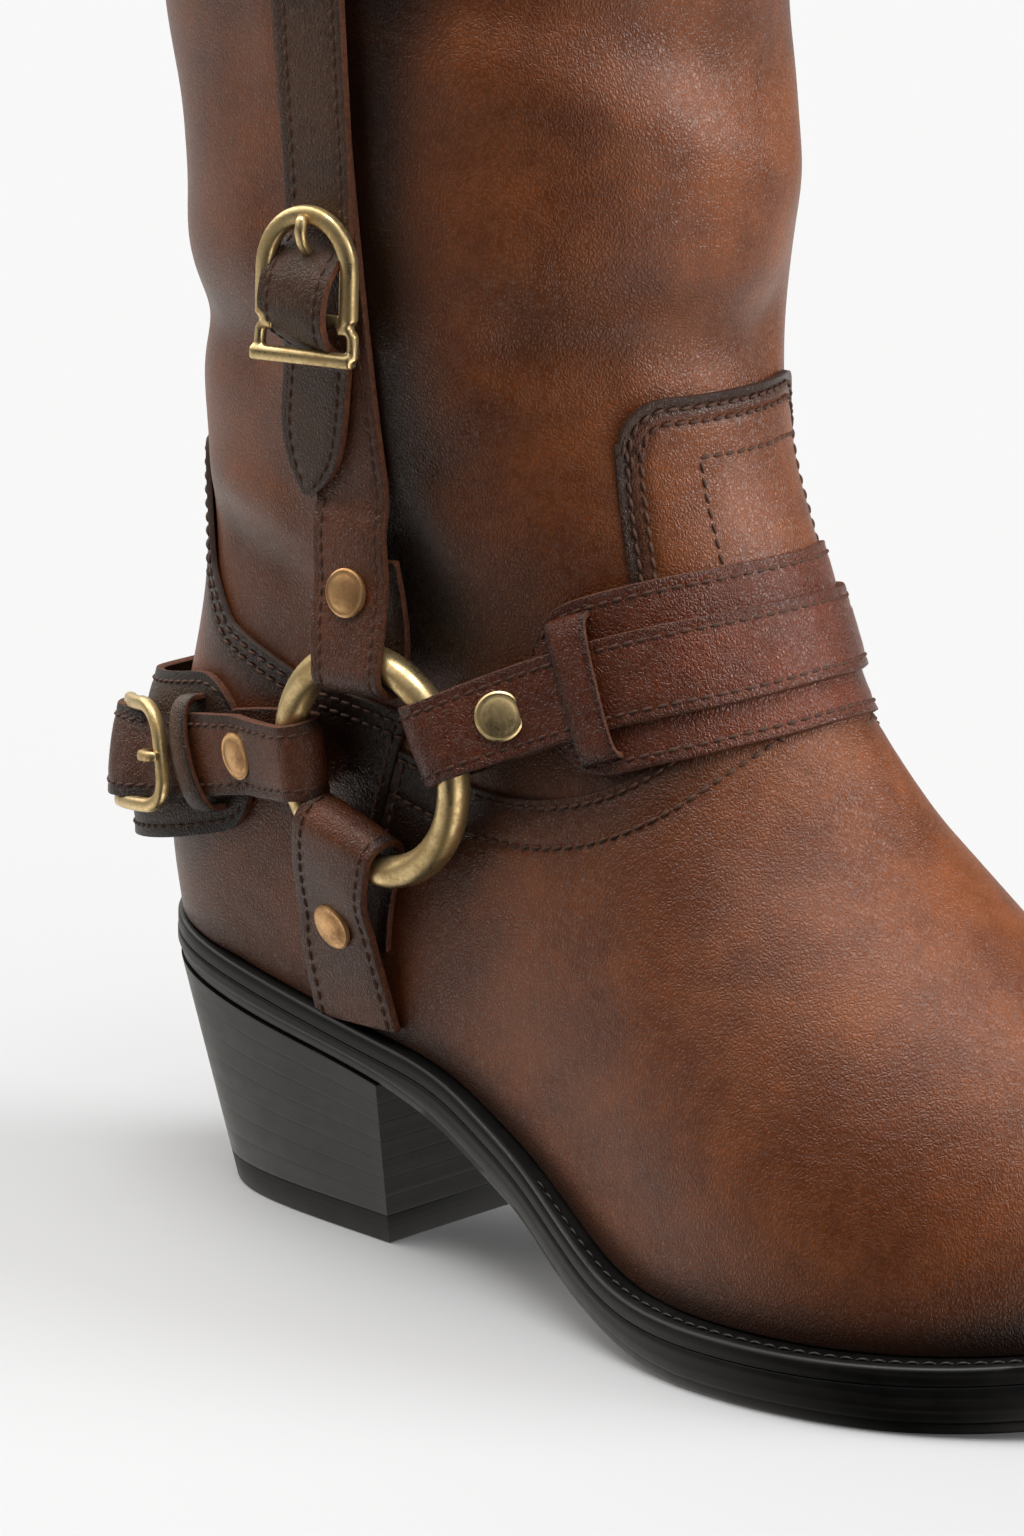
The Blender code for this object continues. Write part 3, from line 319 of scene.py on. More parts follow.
back_and_front = np.broadcast_to([(-1.0, 0.0), (1.0, 0.0)], (len(LEVELS), 2, 2))
ends = net_points(LEVELS, np.full(len(LEVELS), NET_CENTRE), back_and_front)
turns = np.pi + 2 * np.pi * np.arange(NET_TURNS) / NET_TURNS
reach = (ends[:, 1, 0] - ends[:, 0, 0]) / 2
sideways = np.broadcast_to(NET_SIDE * np.sin(turns), (len(LEVELS), NET_TURNS))
fan = np.stack([reach[:, None] * np.cos(turns), sideways], -1)
net = net_points(LEVELS, ends[:, :, 0].mean(axis=1), fan)
net = Batten(LEVELS, net)(FINE_LEVELS)
wrapped = np.concatenate([net[:, -6:], net, net[:, :7]], axis=1).transpose(1, 0, 2)
fine_turns = np.linspace(0, NET_TURNS, FINE_TURNS + 1)
net = Batten(np.arange(-6, NET_TURNS + 7), wrapped)(fine_turns).transpose(1, 0, 2)
along_turn = np.gradient(np.concatenate([net[:, -2:-1], net, net[:, 1:2]], axis=1), axis=1)[:, 1:-1]
net_out = unit(np.cross(along_turn, np.gradient(net, axis=0)))


def skin(turn, level):
    """Point and outward direction of the last at a turn and a level."""
    i = np.interp(level, FINE_LEVELS, np.arange(len(FINE_LEVELS)))
    j = np.mod(np.asarray(turn, float) - np.pi, 2 * np.pi) / (2 * np.pi) * FINE_TURNS
    low_i = np.clip(i.astype(int), 0, len(FINE_LEVELS) - 2)
    low_j = np.clip(j.astype(int), 0, FINE_TURNS - 1)
    s = (i - low_i)[..., None]
    t = (j - low_j)[..., None]
    found = []
    for field in (net, net_out):
        rows = [field[low_i + k, low_j] * (1 - t) + field[low_i + k, low_j + 1] * t for k in (0, 1)]
        found.append(rows[0] * (1 - s) + rows[1] * s)
    return found[0], unit(found[1])


print("net of the last:", net.shape, "outward at the toe:", np.round(net_out[60, FINE_TURNS // 2], 2))

# %% [markdown]
# Finishes are node materials. One small class wraps a socket, so that sums and products of wires can
# be written as Python expressions, and one method adds any other node. All patterns read Object
# coordinates or an attribute painted on the piece, so they stay with the leather from every side.


# %% Wires for shader maths
class Wire:
    """A socket of a material. Arithmetic on wires adds Math nodes."""

    def __init__(self, tree, socket):
        self.tree = tree
        self.socket = socket

    def node(self, kind, settings=None, sockets=None, out=0):
        made = self.tree.nodes.new("ShaderNode" + kind)
        for key, value in (settings or {}).items():
            if key == "stops":
                ramp = made.color_ramp.elements
                while len(ramp) < len(value):
                    ramp.new(0.5)
                for stop, (place, colour) in zip(ramp, value):
                    stop.position = place
                    stop.color = colour
            else:
                setattr(made, key, value)
        for key, value in (sockets or {}).items():
            if isinstance(value, Wire):
                self.tree.links.new(value.socket, made.inputs[key])
            else:
                made.inputs[key].default_value = value
        return Wire(self.tree, made.outputs[out])

    def maths(self, operation, a, b):
        return self.node("Math", {"operation": operation}, {0: a, 1: b})

    def __add__(self, other):
        return self.maths("ADD", self, other)

    __radd__ = __add__

    def __sub__(self, other):
        return self.maths("SUBTRACT", self, other)

    def __rsub__(self, other):
        return self.maths("SUBTRACT", other, self)

    def __mul__(self, other):
        return self.maths("MULTIPLY", self, other)

    __rmul__ = __mul__

    def step(self, low, high):
        """A soft step from 0 at low to 1 at high."""
        settings = {"interpolation_type": "SMOOTHSTEP"}
        return self.node("MapRange", settings, {0: self, 1: low, 2: high, 3: 0.0, 4: 1.0})

    def mix(self, a, b):
        """Colour a where this wire is 0 and b where it is 1."""
        return self.node("Mix", {"data_type": "RGBA"}, {0: self, 6: a, 7: b}, out=2)

    def noise(self, scale, detail=3.0, rough=0.55):
        sockets = {"Vector": self, "Scale": scale, "Detail": detail, "Roughness": rough}
        return self.node("TexNoise", None, sockets)

    def stretched(self, x, y, z):
        return self.node("Mapping", None, {"Vector": self, "Scale": (x, y, z)})

    def bump(self, strength, distance=0.0002):
        """The surface's direction where this wire is its height."""
        return self.node("Bump", None, {"Strength": strength, "Distance": distance, "Height": self})

    def mark(self, name):
        return self.node("Attribute", {"attribute_name": name}, out="Fac")


def new_finish(name, constants):
    """A material with its constant sockets set, and a wire with the Object coordinates."""
    material = bpy.data.materials.new(name)
    material.use_nodes = True
    tree = material.node_tree
    shader = tree.nodes["Principled BSDF"]
    for key, value in constants.items():
        shader.inputs[key].default_value = value
    place = Wire(tree, tree.nodes.new("ShaderNodeTexCoord").outputs["Object"])

    def join(key, wire):
        tree.links.new(wire.socket, shader.inputs[key])

    return material, place, join


def rgb(red, green, blue):
    """A colour given as it is seen on a screen, from 0 to 255, made linear for the shader."""
    seen = [v / 255 for v in (red, green, blue)]
    return tuple(v / 12.92 if v <= 0.04045 else ((v + 0.055) / 1.055) ** 2.4 for v in seen) + (1.0,)


print("a mid brown in linear light:", np.round(rgb(110, 64, 40), 3))

# %% [markdown]
# The leather is dyed brown and hand burnished: clouds of cognac and dark brown, a fine pebbled grain of
# small cells with soft wrinkles between them, and a waxy half gloss. A flat colour with one noise would
# look like plastic, so the clouds, the grain and the gloss each have their own scale. A mark painted on
# each piece darkens it: along cut edges, and as painted shade in folds, beside and under straps and rings, and just
# above the sole.


# %% Leather finish
def leather(name, pale, middle, dark, gloss, grain):
    wax = {"Specular IOR Level": 0.42, "Coat Weight": 0.04, "Coat Roughness": 0.2}
    material, place, join = new_finish(name, wax)
    shift = place.node("TexNoise", None, {"Vector": place, "Scale": 420.0, "Detail": 2.0}, out="Color")
    drawn = place.stretched(1.0, 1.0, 0.72)
    bent = place.node("VectorMath", {"operation": "MULTIPLY_ADD"}, {0: shift, 1: (0.0013,) * 3, 2: drawn})

    def cells(scale):
        edges = {"feature": "DISTANCE_TO_EDGE"}
        return place.node("TexVoronoi", edges, {"Vector": bent, "Scale": scale}, out="Distance").step(0.0, 0.3)

    pebble, crumb = cells(1400.0), cells(2700.0)
    cloud = place.noise(24.0, 5.0, 0.6)
    patch = place.noise(90.0, 5.0, 0.66)
    burnish = place.mark("burnish")
    colour = (0.6 * cloud + 0.4 * patch).step(0.36, 0.64).mix(middle, pale)
    # The painted mark darkens the colour: burnished edges, and painted shade in folds, by straps and rings and
    # above the sole.
    colour = (burnish * (0.7 + 0.6 * patch)).step(0.06, 0.95).mix(colour, dark)
    colour = ((1.0 - pebble) * 0.3).mix(colour, dark)
    join("Base Color", colour)
    join("Roughness", gloss + 0.2 * (patch - 0.5) + 0.06 * (1.0 - pebble))
    height = pebble * 0.6 + crumb * 0.25 + place.noise(900.0, 4.0, 0.6) * 0.6
    join("Normal", height.bump(grain))
    return material


vamp_leather = leather("burnished_leather", rgb(140, 76, 36), rgb(104, 52, 23), rgb(36, 19, 10), 0.3, 0.62)
strap_red = leather("red_brown_strap", rgb(120, 55, 26), rgb(86, 38, 17), rgb(30, 15, 9), 0.26, 0.9)
strap_brown = leather("brown_strap", rgb(120, 64, 34), rgb(80, 41, 21), rgb(34, 18, 10), 0.34, 0.8)
strap_olive = leather("olive_brown_strap", rgb(92, 58, 34), rgb(64, 39, 23), rgb(31, 19, 11), 0.4, 0.75)

# %% [markdown]
# Cut edges, thread and the lining have no wax on them, so they need no gloss of their own. One dull,
# fibrous finish serves them all, with other colours and another size of fibre.


# %% Raw edges, thread and lining
def fibre(name, pale, dark, scale, rough, strength):
    """A dull, fibrous finish: cut edges, thread and the leather inside."""
    material, place, join = new_finish(name, {"Roughness": rough})
    coarse = place.noise(scale, 4.0, 0.7)
    fine = place.noise(scale * 3.2, 3.0, 0.7)
    shade = (0.6 * coarse + 0.4 * fine).step(0.3, 0.72)
    join("Base Color", shade.mix(dark, pale))
    join("Normal", (fine + coarse).bump(strength))
    return material


raw_edge = fibre("raw_cut_edge", rgb(124, 70, 42), rgb(58, 31, 18), 900.0, 0.85, 1.0)
dark_edge = fibre("inked_edge", rgb(72, 42, 28), rgb(34, 19, 12), 900.0, 0.7, 0.6)
thread = fibre("brown_thread", rgb(98, 58, 36), rgb(44, 25, 16), 1800.0, 0.6, 0.6)
lining_leather = fibre("lining_leather", rgb(176, 138, 100), rgb(146, 108, 74), 300.0, 0.75, 0.25)
print("leathers ready:", [m.name for m in bpy.data.materials][-7:])

# %% [markdown]
# Cut leather starts as a flat sheet, so each piece starts as a grid primitive that is laid on the last
# point by point, and a Solidify modifier gives it its real thickness. The rim gets its own material,
# because a cut edge shows the raw fibres. A Bevel modifier then eases the cut.


# %% Helpers that lay and thicken sheets
def in_metres(points):
    return (np.asarray(points, float).reshape(-1, 3) - (HEEL_CENTRE_X, 0.0, 0.0)) * MM


def alone(piece):
    """Select one piece only, because operators act on all that is selected."""
    bpy.ops.object.select_all(action="DESELECT")
    piece.select_set(True)
    bpy.context.view_layer.objects.active = piece


def fresh(add, **settings):
    """A new primitive, selected alone."""
    bpy.ops.object.select_all(action="DESELECT")
    add(**settings)
    return bpy.context.object


def edit_all():
    """Open the active piece for editing, with everything in it selected."""
    bpy.ops.object.mode_set(mode="EDIT")
    bpy.ops.mesh.select_all(action="SELECT")


def weld(piece, distance=0.000004):
    alone(piece)
    edit_all()
    bpy.ops.mesh.remove_doubles(threshold=distance)
    bpy.ops.mesh.normals_make_consistent(inside=False)
    bpy.ops.object.mode_set(mode="OBJECT")


def sheet(name, points, finishes, out=None, wrap=(False, False), marks=None):
    """A grid laid on rows and columns of points, its front turned to out, closed where it wraps."""
    grid = np.asarray(points, float)
    painted = {key: np.broadcast_to(value, grid.shape[:2]) for key, value in (marks or {}).items()}
    if out is not None:
        r, c = grid.shape[0] // 2, grid.shape[1] // 2
        front = np.cross(grid[r, c] - grid[r, c - 1], grid[r, c] - grid[r - 1, c])
        if front @ np.asarray(out)[r, c] < 0:
            grid = grid[:, ::-1]
            painted = {key: value[:, ::-1] for key, value in painted.items()}
    for axis in (0, 1):
        if wrap[axis]:
            first = (slice(0, 1), slice(None)) if axis == 0 else (slice(None), slice(0, 1))
            painted = {key: np.concatenate([v, v[first]], axis=axis) for key, v in painted.items()}
            grid = np.concatenate([grid, grid[first]], axis=axis)
    rows, columns = grid.shape[:2]
    piece = fresh(bpy.ops.mesh.primitive_grid_add, x_subdivisions=columns - 1, y_subdivisions=rows - 1, size=1.0)
    piece.name = piece.data.name = name
    piece.data.vertices.foreach_set("co", in_metres(grid).ravel())
    for key, value in painted.items():
        mark = piece.data.attributes.new(key, "FLOAT", "POINT")
        mark.data.foreach_set("value", np.ascontiguousarray(value, np.float32).ravel())
    for finish in finishes:
        piece.data.materials.append(finish)
    piece.data.update()
    if any(wrap):
        weld(piece)
    return piece


def modify(piece, kind, **settings):
    """Add one modifier, set it and apply it."""
    alone(piece)
    change = piece.modifiers.new(kind.lower(), kind)
    for key, value in settings.items():
        setattr(change, key, value)
    bpy.ops.object.modifier_apply(modifier=change.name)


def thicken(piece, thick, offset=-1.0, ease=0.0, segments=2):
    modify(piece, "SOLIDIFY", thickness=thick * MM, offset=offset, material_offset_rim=1)
    if ease:
        modify(piece, "BEVEL", width=ease * MM, segments=segments, limit_method="ANGLE",
               angle_limit=math.radians(50))


def finish_piece(piece, slot, *nodes, angle=None):
    """Shade a piece, seat it on the body and hide the solids it stands for."""
    alone(piece)
    if angle is None:
        bpy.ops.object.shade_smooth()
    else:
        bpy.ops.object.shade_smooth_by_angle(angle=math.radians(angle))
    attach(piece, "root")
    if nodes:
        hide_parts(*nodes)
    piece.data.calc_loop_triangles()
    print(piece.name, len(piece.data.loop_triangles), "triangles")


# %% [markdown]
# The upper is one lasted shell. A worn or handled shaft never stands as a clean tube, so its main folds
# are listed: a deep trough near the top, a break above the instep tab, and softer dents at the
# back. Each fold is a line of points on the last with a depth and a width, a trough or a ridge.

# %% Folds of the shaft
FOLDS = (
    # depth, width, line of points
    (-2.0, 11.0, ((96, -46, 246), (112, -40, 246), (124, -30, 243), (133, -16, 238), (136, -4, 233),
                  (134, 14, 229))),
    (1.7, 11.0, ((112, -39, 232), (123, -32, 229), (130, -23.5, 225), (135, -13, 220), (137.5, 0, 215),
                 (134, 16, 211))),
    (1.3, 12.0, ((112, -38, 202), (123.5, -32, 203), (130.5, -24, 201), (135.5, -13, 197), (137, 0, 193))),
    (-2.7, 8.0, ((116, -34.5, 182), (125, -28, 183), (131, -19, 184), (136, -8, 184), (136, 2, 183),
                 (134, 14, 181))),
    (1.3, 9.0, ((95, -37, 145), (105, -34, 141.5), (117, -30, 146), (127, -25, 151.5))),
    (-1.0, 7.0, ((100, -37, 158), (110, -36.5, 163), (119, -32, 168), (127, -25, 172))),
    (-1.9, 7.5, ((14, -16, 177), (26, -31, 175.5), (39, -39, 175), (51, -43, 176.5), (60, -45, 178.5))),
    (1.3, 9.0, ((20, -24, 192), (36, -38, 190), (50, -43, 192), (60, -45.5, 195))),
    (-1.6, 6.5, ((38, -35, 135), (48, -37, 133.5), (58, -37.5, 131.5), (66, -37, 128.5))),
    (1.0, 7.0, ((32, -31, 146), (44, -37, 145), (56, -39, 143))),
    (-1.0, 12.0, ((10, 0, 214), (24, -30, 218), (42, -42, 224), (58, -46, 232))),
    (-1.6, 9.0, ((20, 24, 182), (38, 39, 178), (60, 45, 180), (84, 44, 184), (104, 40, 182))),
    (1.2, 10.0, ((24, 30, 200), (48, 44, 198), (76, 47, 202), (104, 43, 206))),
    (-1.2, 11.0, ((30, 38, 236), (60, 48, 240), (96, 46, 244), (118, 37, 240))),
    (-1.1, 13.0, ((126, -28, 272), (134, -8, 268), (132, 14, 270))),
    (-0.9, 13.0, ((16, -30, 262), (44, -46, 266), (66, -50, 262))),
)
STRAP_X = 77.0
STRAP_HOLD = (9, 24)
FOLD_START = (112, 140)
FOLD_END = (288, 303)


def near_line(p, line):
    """Distance from points to a line of points."""
    best = np.full(p.shape[:-1], 1e9)
    knots = np.asarray(line, float)
    for a, b in zip(knots[:-1], knots[1:]):
        t = np.clip(((p - a) @ (b - a)) / ((b - a) @ (b - a)), 0, 1)
        best = np.minimum(best, np.linalg.norm(p - a - t[..., None] * (b - a), axis=-1))
    return best


def folded(p):
    """How far the shaft's leather stands out from the last, in millimetres."""
    rise = np.zeros(p.shape[:-1])
    for depth, width, line in FOLDS:
        rise += depth * np.exp(-(near_line(p, line) / width) ** 2)
    wave = np.sin(p[..., 2] / 13 + p[..., 0] / 29) * np.sin(p[..., 1] / 17 - p[..., 2] / 41)
    held = eased(np.abs(p[..., 0] - STRAP_X), *STRAP_HOLD) * eased(p[..., 2], *FOLD_START)
    return (rise + 0.5 * wave) * held * (1 - eased(p[..., 2], *FOLD_END))

# %% [markdown]
# The upper is laid round the whole last, and the lining is a second, thinner sheet inside it. Painted
# shade is laid from the same folds, darker in their troughs and beside the straps; the shaft is also darker lower
# down.

# %% The upper and its lining
UPPER_DEPTH = 1.25
UPPER_WALL = 1.6
LINING_WALL = 0.9


def lasted(depth, rows, around, start=0.0):
    """Rows of the upper at a depth under the last, with the folds of the shaft."""
    levels = start + (1 - start) * np.linspace(0, 1, rows)
    turn, level = np.meshgrid(np.pi + 2 * np.pi * np.arange(around) / around, levels)
    p, out = skin(turn, level)
    moved = p + (folded(p) - depth)[..., None] * out
    moved[-1, :, 2] = COLLAR
    return moved, out


def shaft_painted_shade(p):
    """Painted shade on the shaft beside the straps and in the troughs of the folds, and a darkening lower down."""
    # Painted shade beside the strap.
    beside_strap_shade = np.exp(-((p[..., 0] - 88) / 13) ** 2) * eased(p[..., 2], 108, 130)
    low = 1 - eased(p[..., 2], 108, 165)
    # Painted shade in the troughs of the folds.
    trough = np.clip(-folded(p) / 6.0, 0, 0.35)
    return np.clip(0.85 * beside_strap_shade + 0.4 * low + trough, 0, 1)


grid, out = lasted(UPPER_DEPTH, 190, 250)
shade = {"burnish": shaft_painted_shade(grid)}
upper = sheet("upper_dressed", grid, (vamp_leather, dark_edge), out, (False, True), shade)
thicken(upper, UPPER_WALL, ease=0.4)
finish_piece(upper, "upper_leather", "upper")

grid, out = lasted(UPPER_DEPTH + UPPER_WALL + 0.05, 70, 120, 0.06)
lining = sheet("lining", grid, (lining_leather, lining_leather), out, (False, True))
thicken(lining, LINING_WALL)
finish_piece(lining, "upper_leather")

# %% [markdown]
# The vamp, the tongue tab and the counter are cut pieces stitched on the upper. Each is a part of the
# last between a seam line, the sole and a top edge, so it is laid by columns from sole to edge.
# The stitches pull the leather down, which shows as a small groove along each row.

# %% Lines of the overlays
OVERLAY = 1.2
SEAM_GAP = 0.15
FEATHER_RISE = 0.2
SIDE_SEAM = ((30.0, 68.0), (50.0, 69.0), (70.0, 71.5), (92.0, 78.0), (112.0, 85.0))
VAMP_EDGE = (
    (60.0, 104.0), (82.0, 100.5), (102.0, 97.0), (118.0, 98.2), (134.0, 103.5), (142.0, 109.0), (152.0, 120.0),
)
COUNTER_EDGE = (
    (-5.0, 150.5), (12.0, 150.5), (19.0, 149.5), (23.0, 139.0), (28.0, 127.5), (37.0, 118.5), (56.0, 111.5),
    (90.0, 107.0),
)
TONGUE_CENTRE = 2.0
TONGUE_HALF = 24.5
TONGUE_TOP = 173.0
TONGUE_CORNER = 8.0
side_seam = column(SIDE_SEAM, 1)
vamp_edge = column(VAMP_EDGE, 1)
SEAM_ROWS = FINE_LEVELS[FINE_LEVELS < 0.5]
half_turn = FINE_TURNS // 2
net_turn = np.pi + 2 * np.pi * np.arange(FINE_TURNS + 1) / FINE_TURNS


def seam_turns(first, last, move):
    """Turn of the side seam on each level of the net, between two turns."""
    found = []
    for row in net[:len(SEAM_ROWS), first:last + 1]:
        offset = row[:, 0] - side_seam(row[:, 2]) - move
        order = np.argsort(offset)
        found.append(np.interp(0.0, offset[order], net_turn[first:last + 1][order]))
    return np.array(found)


seam_front = (seam_turns(0, half_turn, SEAM_GAP), seam_turns(half_turn, FINE_TURNS, SEAM_GAP))
seam_back = (seam_turns(half_turn, FINE_TURNS, -SEAM_GAP) - 2 * np.pi, seam_turns(0, half_turn, -SEAM_GAP))


def overlay_grid(seams, shares, rows, low, top):
    """Rows and columns of the last between two seams, a low edge or the sole, and a top edge."""
    trial = np.linspace(0, 0.58, 420)
    start, stop = (np.interp(trial, SEAM_ROWS, s) for s in seams)
    turn = start + (stop - start) * np.asarray(shares)[:, None]
    p, _ = skin(turn, np.broadcast_to(trial, turn.shape))

    def level_of(edge):
        over = p[..., 2] - edge(p)
        high = np.maximum(np.argmax(over > 0, axis=1), 1)
        lanes = np.arange(len(over))
        a, b = over[lanes, high - 1], over[lanes, high]
        return trial[high - 1] + (trial[high] - trial[high - 1]) * np.clip(a / (a - b), 0, 1)

    base = np.zeros(len(turn)) if low is None else level_of(low)
    level = base + np.asarray(rows)[:, None] * (level_of(top) - base)
    start, stop = (np.interp(level, SEAM_ROWS, s) for s in seams)
    return skin(start + (stop - start) * np.asarray(shares), level)


def tongue_top(p):
    beyond = np.clip(np.abs(p[..., 1] - TONGUE_CENTRE) - (TONGUE_HALF - TONGUE_CORNER), 0, TONGUE_CORNER)
    return TONGUE_TOP - TONGUE_CORNER + np.sqrt(np.maximum(TONGUE_CORNER ** 2 - beyond ** 2, 0))


def counter_top(p):
    return np.interp(p[..., 0], *np.transpose(COUNTER_EDGE))


def edge_distance(points, edge):
    """Distance of each point from a line of close points."""
    flat = points.reshape(-1, 3)
    near = [np.min(np.linalg.norm(part[:, None] - edge[None], axis=-1), axis=1)
            for part in np.array_split(flat, 60)]
    return np.concatenate(near).reshape(points.shape[:-1])


def pulled(distance, rows, depth=0.3, width=0.75):
    """Grooves that rows of stitches pull into the leather."""
    return -depth * sum(np.exp(-((distance - row) / width) ** 2) for row in rows)


thread_rows = []


def inset_row(edge, inset, middle):
    """A row of stitches at a distance inside an edge, on the last."""
    edge = np.asarray(edge, float)
    ahead = unit(np.gradient(edge, axis=0))
    inward = np.cross(normal(edge), ahead)
    inward *= np.sign(np.sum(inward * (np.asarray(middle) - edge), axis=1))[:, None]
    row = settle(edge + inset * inward)
    thread_rows.append((row, normal(row), 0.0))


TAB_LEVEL = 0.42
TRIALS = 600
front_part = slice(90, 510)
row_turn = np.linspace(*[np.interp(TAB_LEVEL, SEAM_ROWS, s) for s in seam_front], TRIALS)
row_y = skin(row_turn, np.full(TRIALS, TAB_LEVEL))[0][front_part, 1]
row_share = np.linspace(0, 1, TRIALS)[front_part]
tongue_share = [np.interp(TONGUE_CENTRE + k * TONGUE_HALF, row_y, row_share) for k in (-1, 1)]
print("tongue between shares", np.round(tongue_share, 3), "of the vamp")

# %% [markdown]
# The three overlays differ in outline only, so one function dresses them. The vamp is smoothed across
# the toe, where its columns meet in a narrow fan. Every stitch row is noted now and sewn at the end.

# %% Vamp, tongue tab and counter
VAMP_ROWS = (1.5, 8.8)
VAMP_COLUMNS = 190
BESIDE_TAB = (slice(0, 84), slice(106, VAMP_COLUMNS))
TAB_ROWS = (2.0, 4.6)
SEAM_INSET = 2.0
TOE_PASSES = 16
TOE_CALM = (185, 212)
BOX_LOW, BOX_TOP = 30, 62
BOX_LEFT, BOX_RIGHT = 20, 61


def overlay(node, grid, out, burnish, ease=0.22, segments=2):
    """One cut piece that is stitched on the upper."""
    shade = {"burnish": np.clip(burnish, 0, 1)}
    piece = sheet(node + "_dressed", grid, (vamp_leather, dark_edge), out, marks=shade)
    thicken(piece, OVERLAY, ease=ease, segments=segments)
    finish_piece(piece, "upper_leather", node)


def sole_shade(p, near, strong):
    """Painted shade that fades upwards from the sole, in the corner above the welt."""
    return strong * np.exp(-((p[..., 2] - sole_top(p[..., 0])) / near) ** 2)


def vamp_top(p):
    return vamp_edge(p[..., 0])


p, out = overlay_grid(seam_front, np.linspace(0, 1, VAMP_COLUMNS), np.linspace(0, 1, 84), None, vamp_top)
from_top = edge_distance(p, p[-1])
toe_dark = eased(p[..., 0], 200, 238) * 0.4
burnish = sole_shade(p, 9, 0.75) + 0.6 * np.exp(-(from_top / 12) ** 2) + toe_dark
# Painted shade on the back of the vamp, under the ring and its straps.
burnish += 0.95 * (1 - eased(p[..., 0], 84, 112)) * eased(p[..., 2], 70, 86)
beside_tab = eased(np.abs(p[..., 1] - TONGUE_CENTRE), 18, 28)
skin_vamp = p + (beside_tab * pulled(from_top, VAMP_ROWS))[..., None] * out
for _ in range(TOE_PASSES):
    between = (np.roll(skin_vamp, 1, axis=1) + np.roll(skin_vamp, -1, axis=1)) / 2
    skin_vamp = skin_vamp + 0.5 * eased(skin_vamp[..., :1], *TOE_CALM) * (between - skin_vamp)
skin_vamp[0, :, 2] = sole_top(skin_vamp[0, :, 0]) + FEATHER_RISE
overlay("vamp", skin_vamp, out, burnish)
for inset in VAMP_ROWS:
    for side in BESIDE_TAB:
        inset_row(p[-1, side], inset, (150.0, 0.0, 20.0))
for column_at in (0, -1):
    inset_row(p[8:-2, column_at], SEAM_INSET, (160.0, 0.0, 60.0))

p, out = overlay_grid(seam_front, np.linspace(*tongue_share, 72), np.linspace(0, 1, 80),
                      lambda q: vamp_top(q) + 0.4, tongue_top)
tab_edge = np.vstack([p[:, 0], p[-1, 1:-1], p[::-1, -1]])
from_edge = edge_distance(p, tab_edge)
turned_rim = 0.35 * np.exp(-(from_edge / 1.3) ** 2)
skin_tab = p + pulled(from_edge, TAB_ROWS, 0.35)[..., None] * out + turned_rim[..., None] * out
overlay("tongue", skin_tab, out, 0.8 * np.exp(-(from_edge / 5.5) ** 2), 0.45, 3)
tab_centre = p[30, 36]
for inset in TAB_ROWS:
    inset_row(tab_edge[6:-6], inset, tab_centre)
box = np.vstack([p[BOX_LOW:BOX_TOP, BOX_LEFT], p[BOX_TOP, BOX_LEFT:BOX_RIGHT + 1],
                 p[BOX_TOP:BOX_LOW:-1, BOX_RIGHT]])
thread_rows.append((box, normal(box), 0.0))

p, out = overlay_grid(seam_back, np.linspace(0, 1, 150), np.linspace(0, 1, 70), None, counter_top)
from_top = edge_distance(p, p[-1])
# Painted shade near the sole and on the counter's front, under the ring.
burnish = sole_shade(p, 8, 0.55) + 0.85 * np.exp(-(from_top / 14) ** 2) + 0.8 * eased(p[..., 0], 52, 78)
skin_counter = p + pulled(from_top, TAB_ROWS)[..., None] * out
skin_counter[0, :, 2] = sole_top(skin_counter[0, :, 0]) + FEATHER_RISE
overlay("counter", skin_counter, out, burnish)
for inset in TAB_ROWS:
    inset_row(p[-1], inset, (30.0, 0.0, 60.0))
for column_at in (0, -1):
    inset_row(p[8:-2, column_at], SEAM_INSET, (10.0, 0.0, 70.0))

# %% [markdown]
# The sole is blackened leather with a waxed edge: an outsole with a thin step near the ground, the welt
# on it and the stacked heel. Its faces are closed loops of the sole's plan, moved inwards and set at a
# height. The two sides of a loop meet on the middle line, so each face closes without a fan of thin
# triangles. Fine lines along the edge come from an attribute that holds the height in the edge.


# %% Sole edge finish and loops
def blackened(name, pale, dark, gloss, lines, strength):
    """Waxed black edge with thin lines along it, read from the height painted on the piece."""
    wax = {"Specular IOR Level": 0.32, "Coat Weight": 0.03, "Coat Roughness": 0.25}
    material, place, join = new_finish(name, wax)
    height = place.mark("layer")
    along = place.noise(60.0, 3.0)
    flat = place.node("CombineXYZ", None, {"X": height * lines, "Y": along * 0.6})
    streak = place.node("TexNoise", {"noise_dimensions": "2D"}, {"Vector": flat, "Scale": 1.0, "Detail": 4.0})
    scuff = place.noise(240.0, 5.0, 0.7)
    shade = (0.7 * streak + 0.3 * scuff).step(0.42, 0.78)
    join("Base Color", shade.mix(dark, pale))
    join("Roughness", gloss + 0.22 * (scuff - 0.5) + 0.12 * (streak - 0.5))
    join("Normal", (streak + scuff * 0.3).bump(strength))
    return material


edge_black = blackened("blackened_edge", rgb(22, 20, 18), rgb(9, 8, 8), 0.4, 1.1, 0.1)
heel_black = blackened("blackened_stack", rgb(34, 29, 25), rgb(14, 12, 11), 0.4, 0.5, 0.12)
lift_rubber = blackened("heel_rubber", rgb(34, 33, 32), rgb(14, 14, 14), 0.62, 0.8, 0.4)
STATIONS = 130


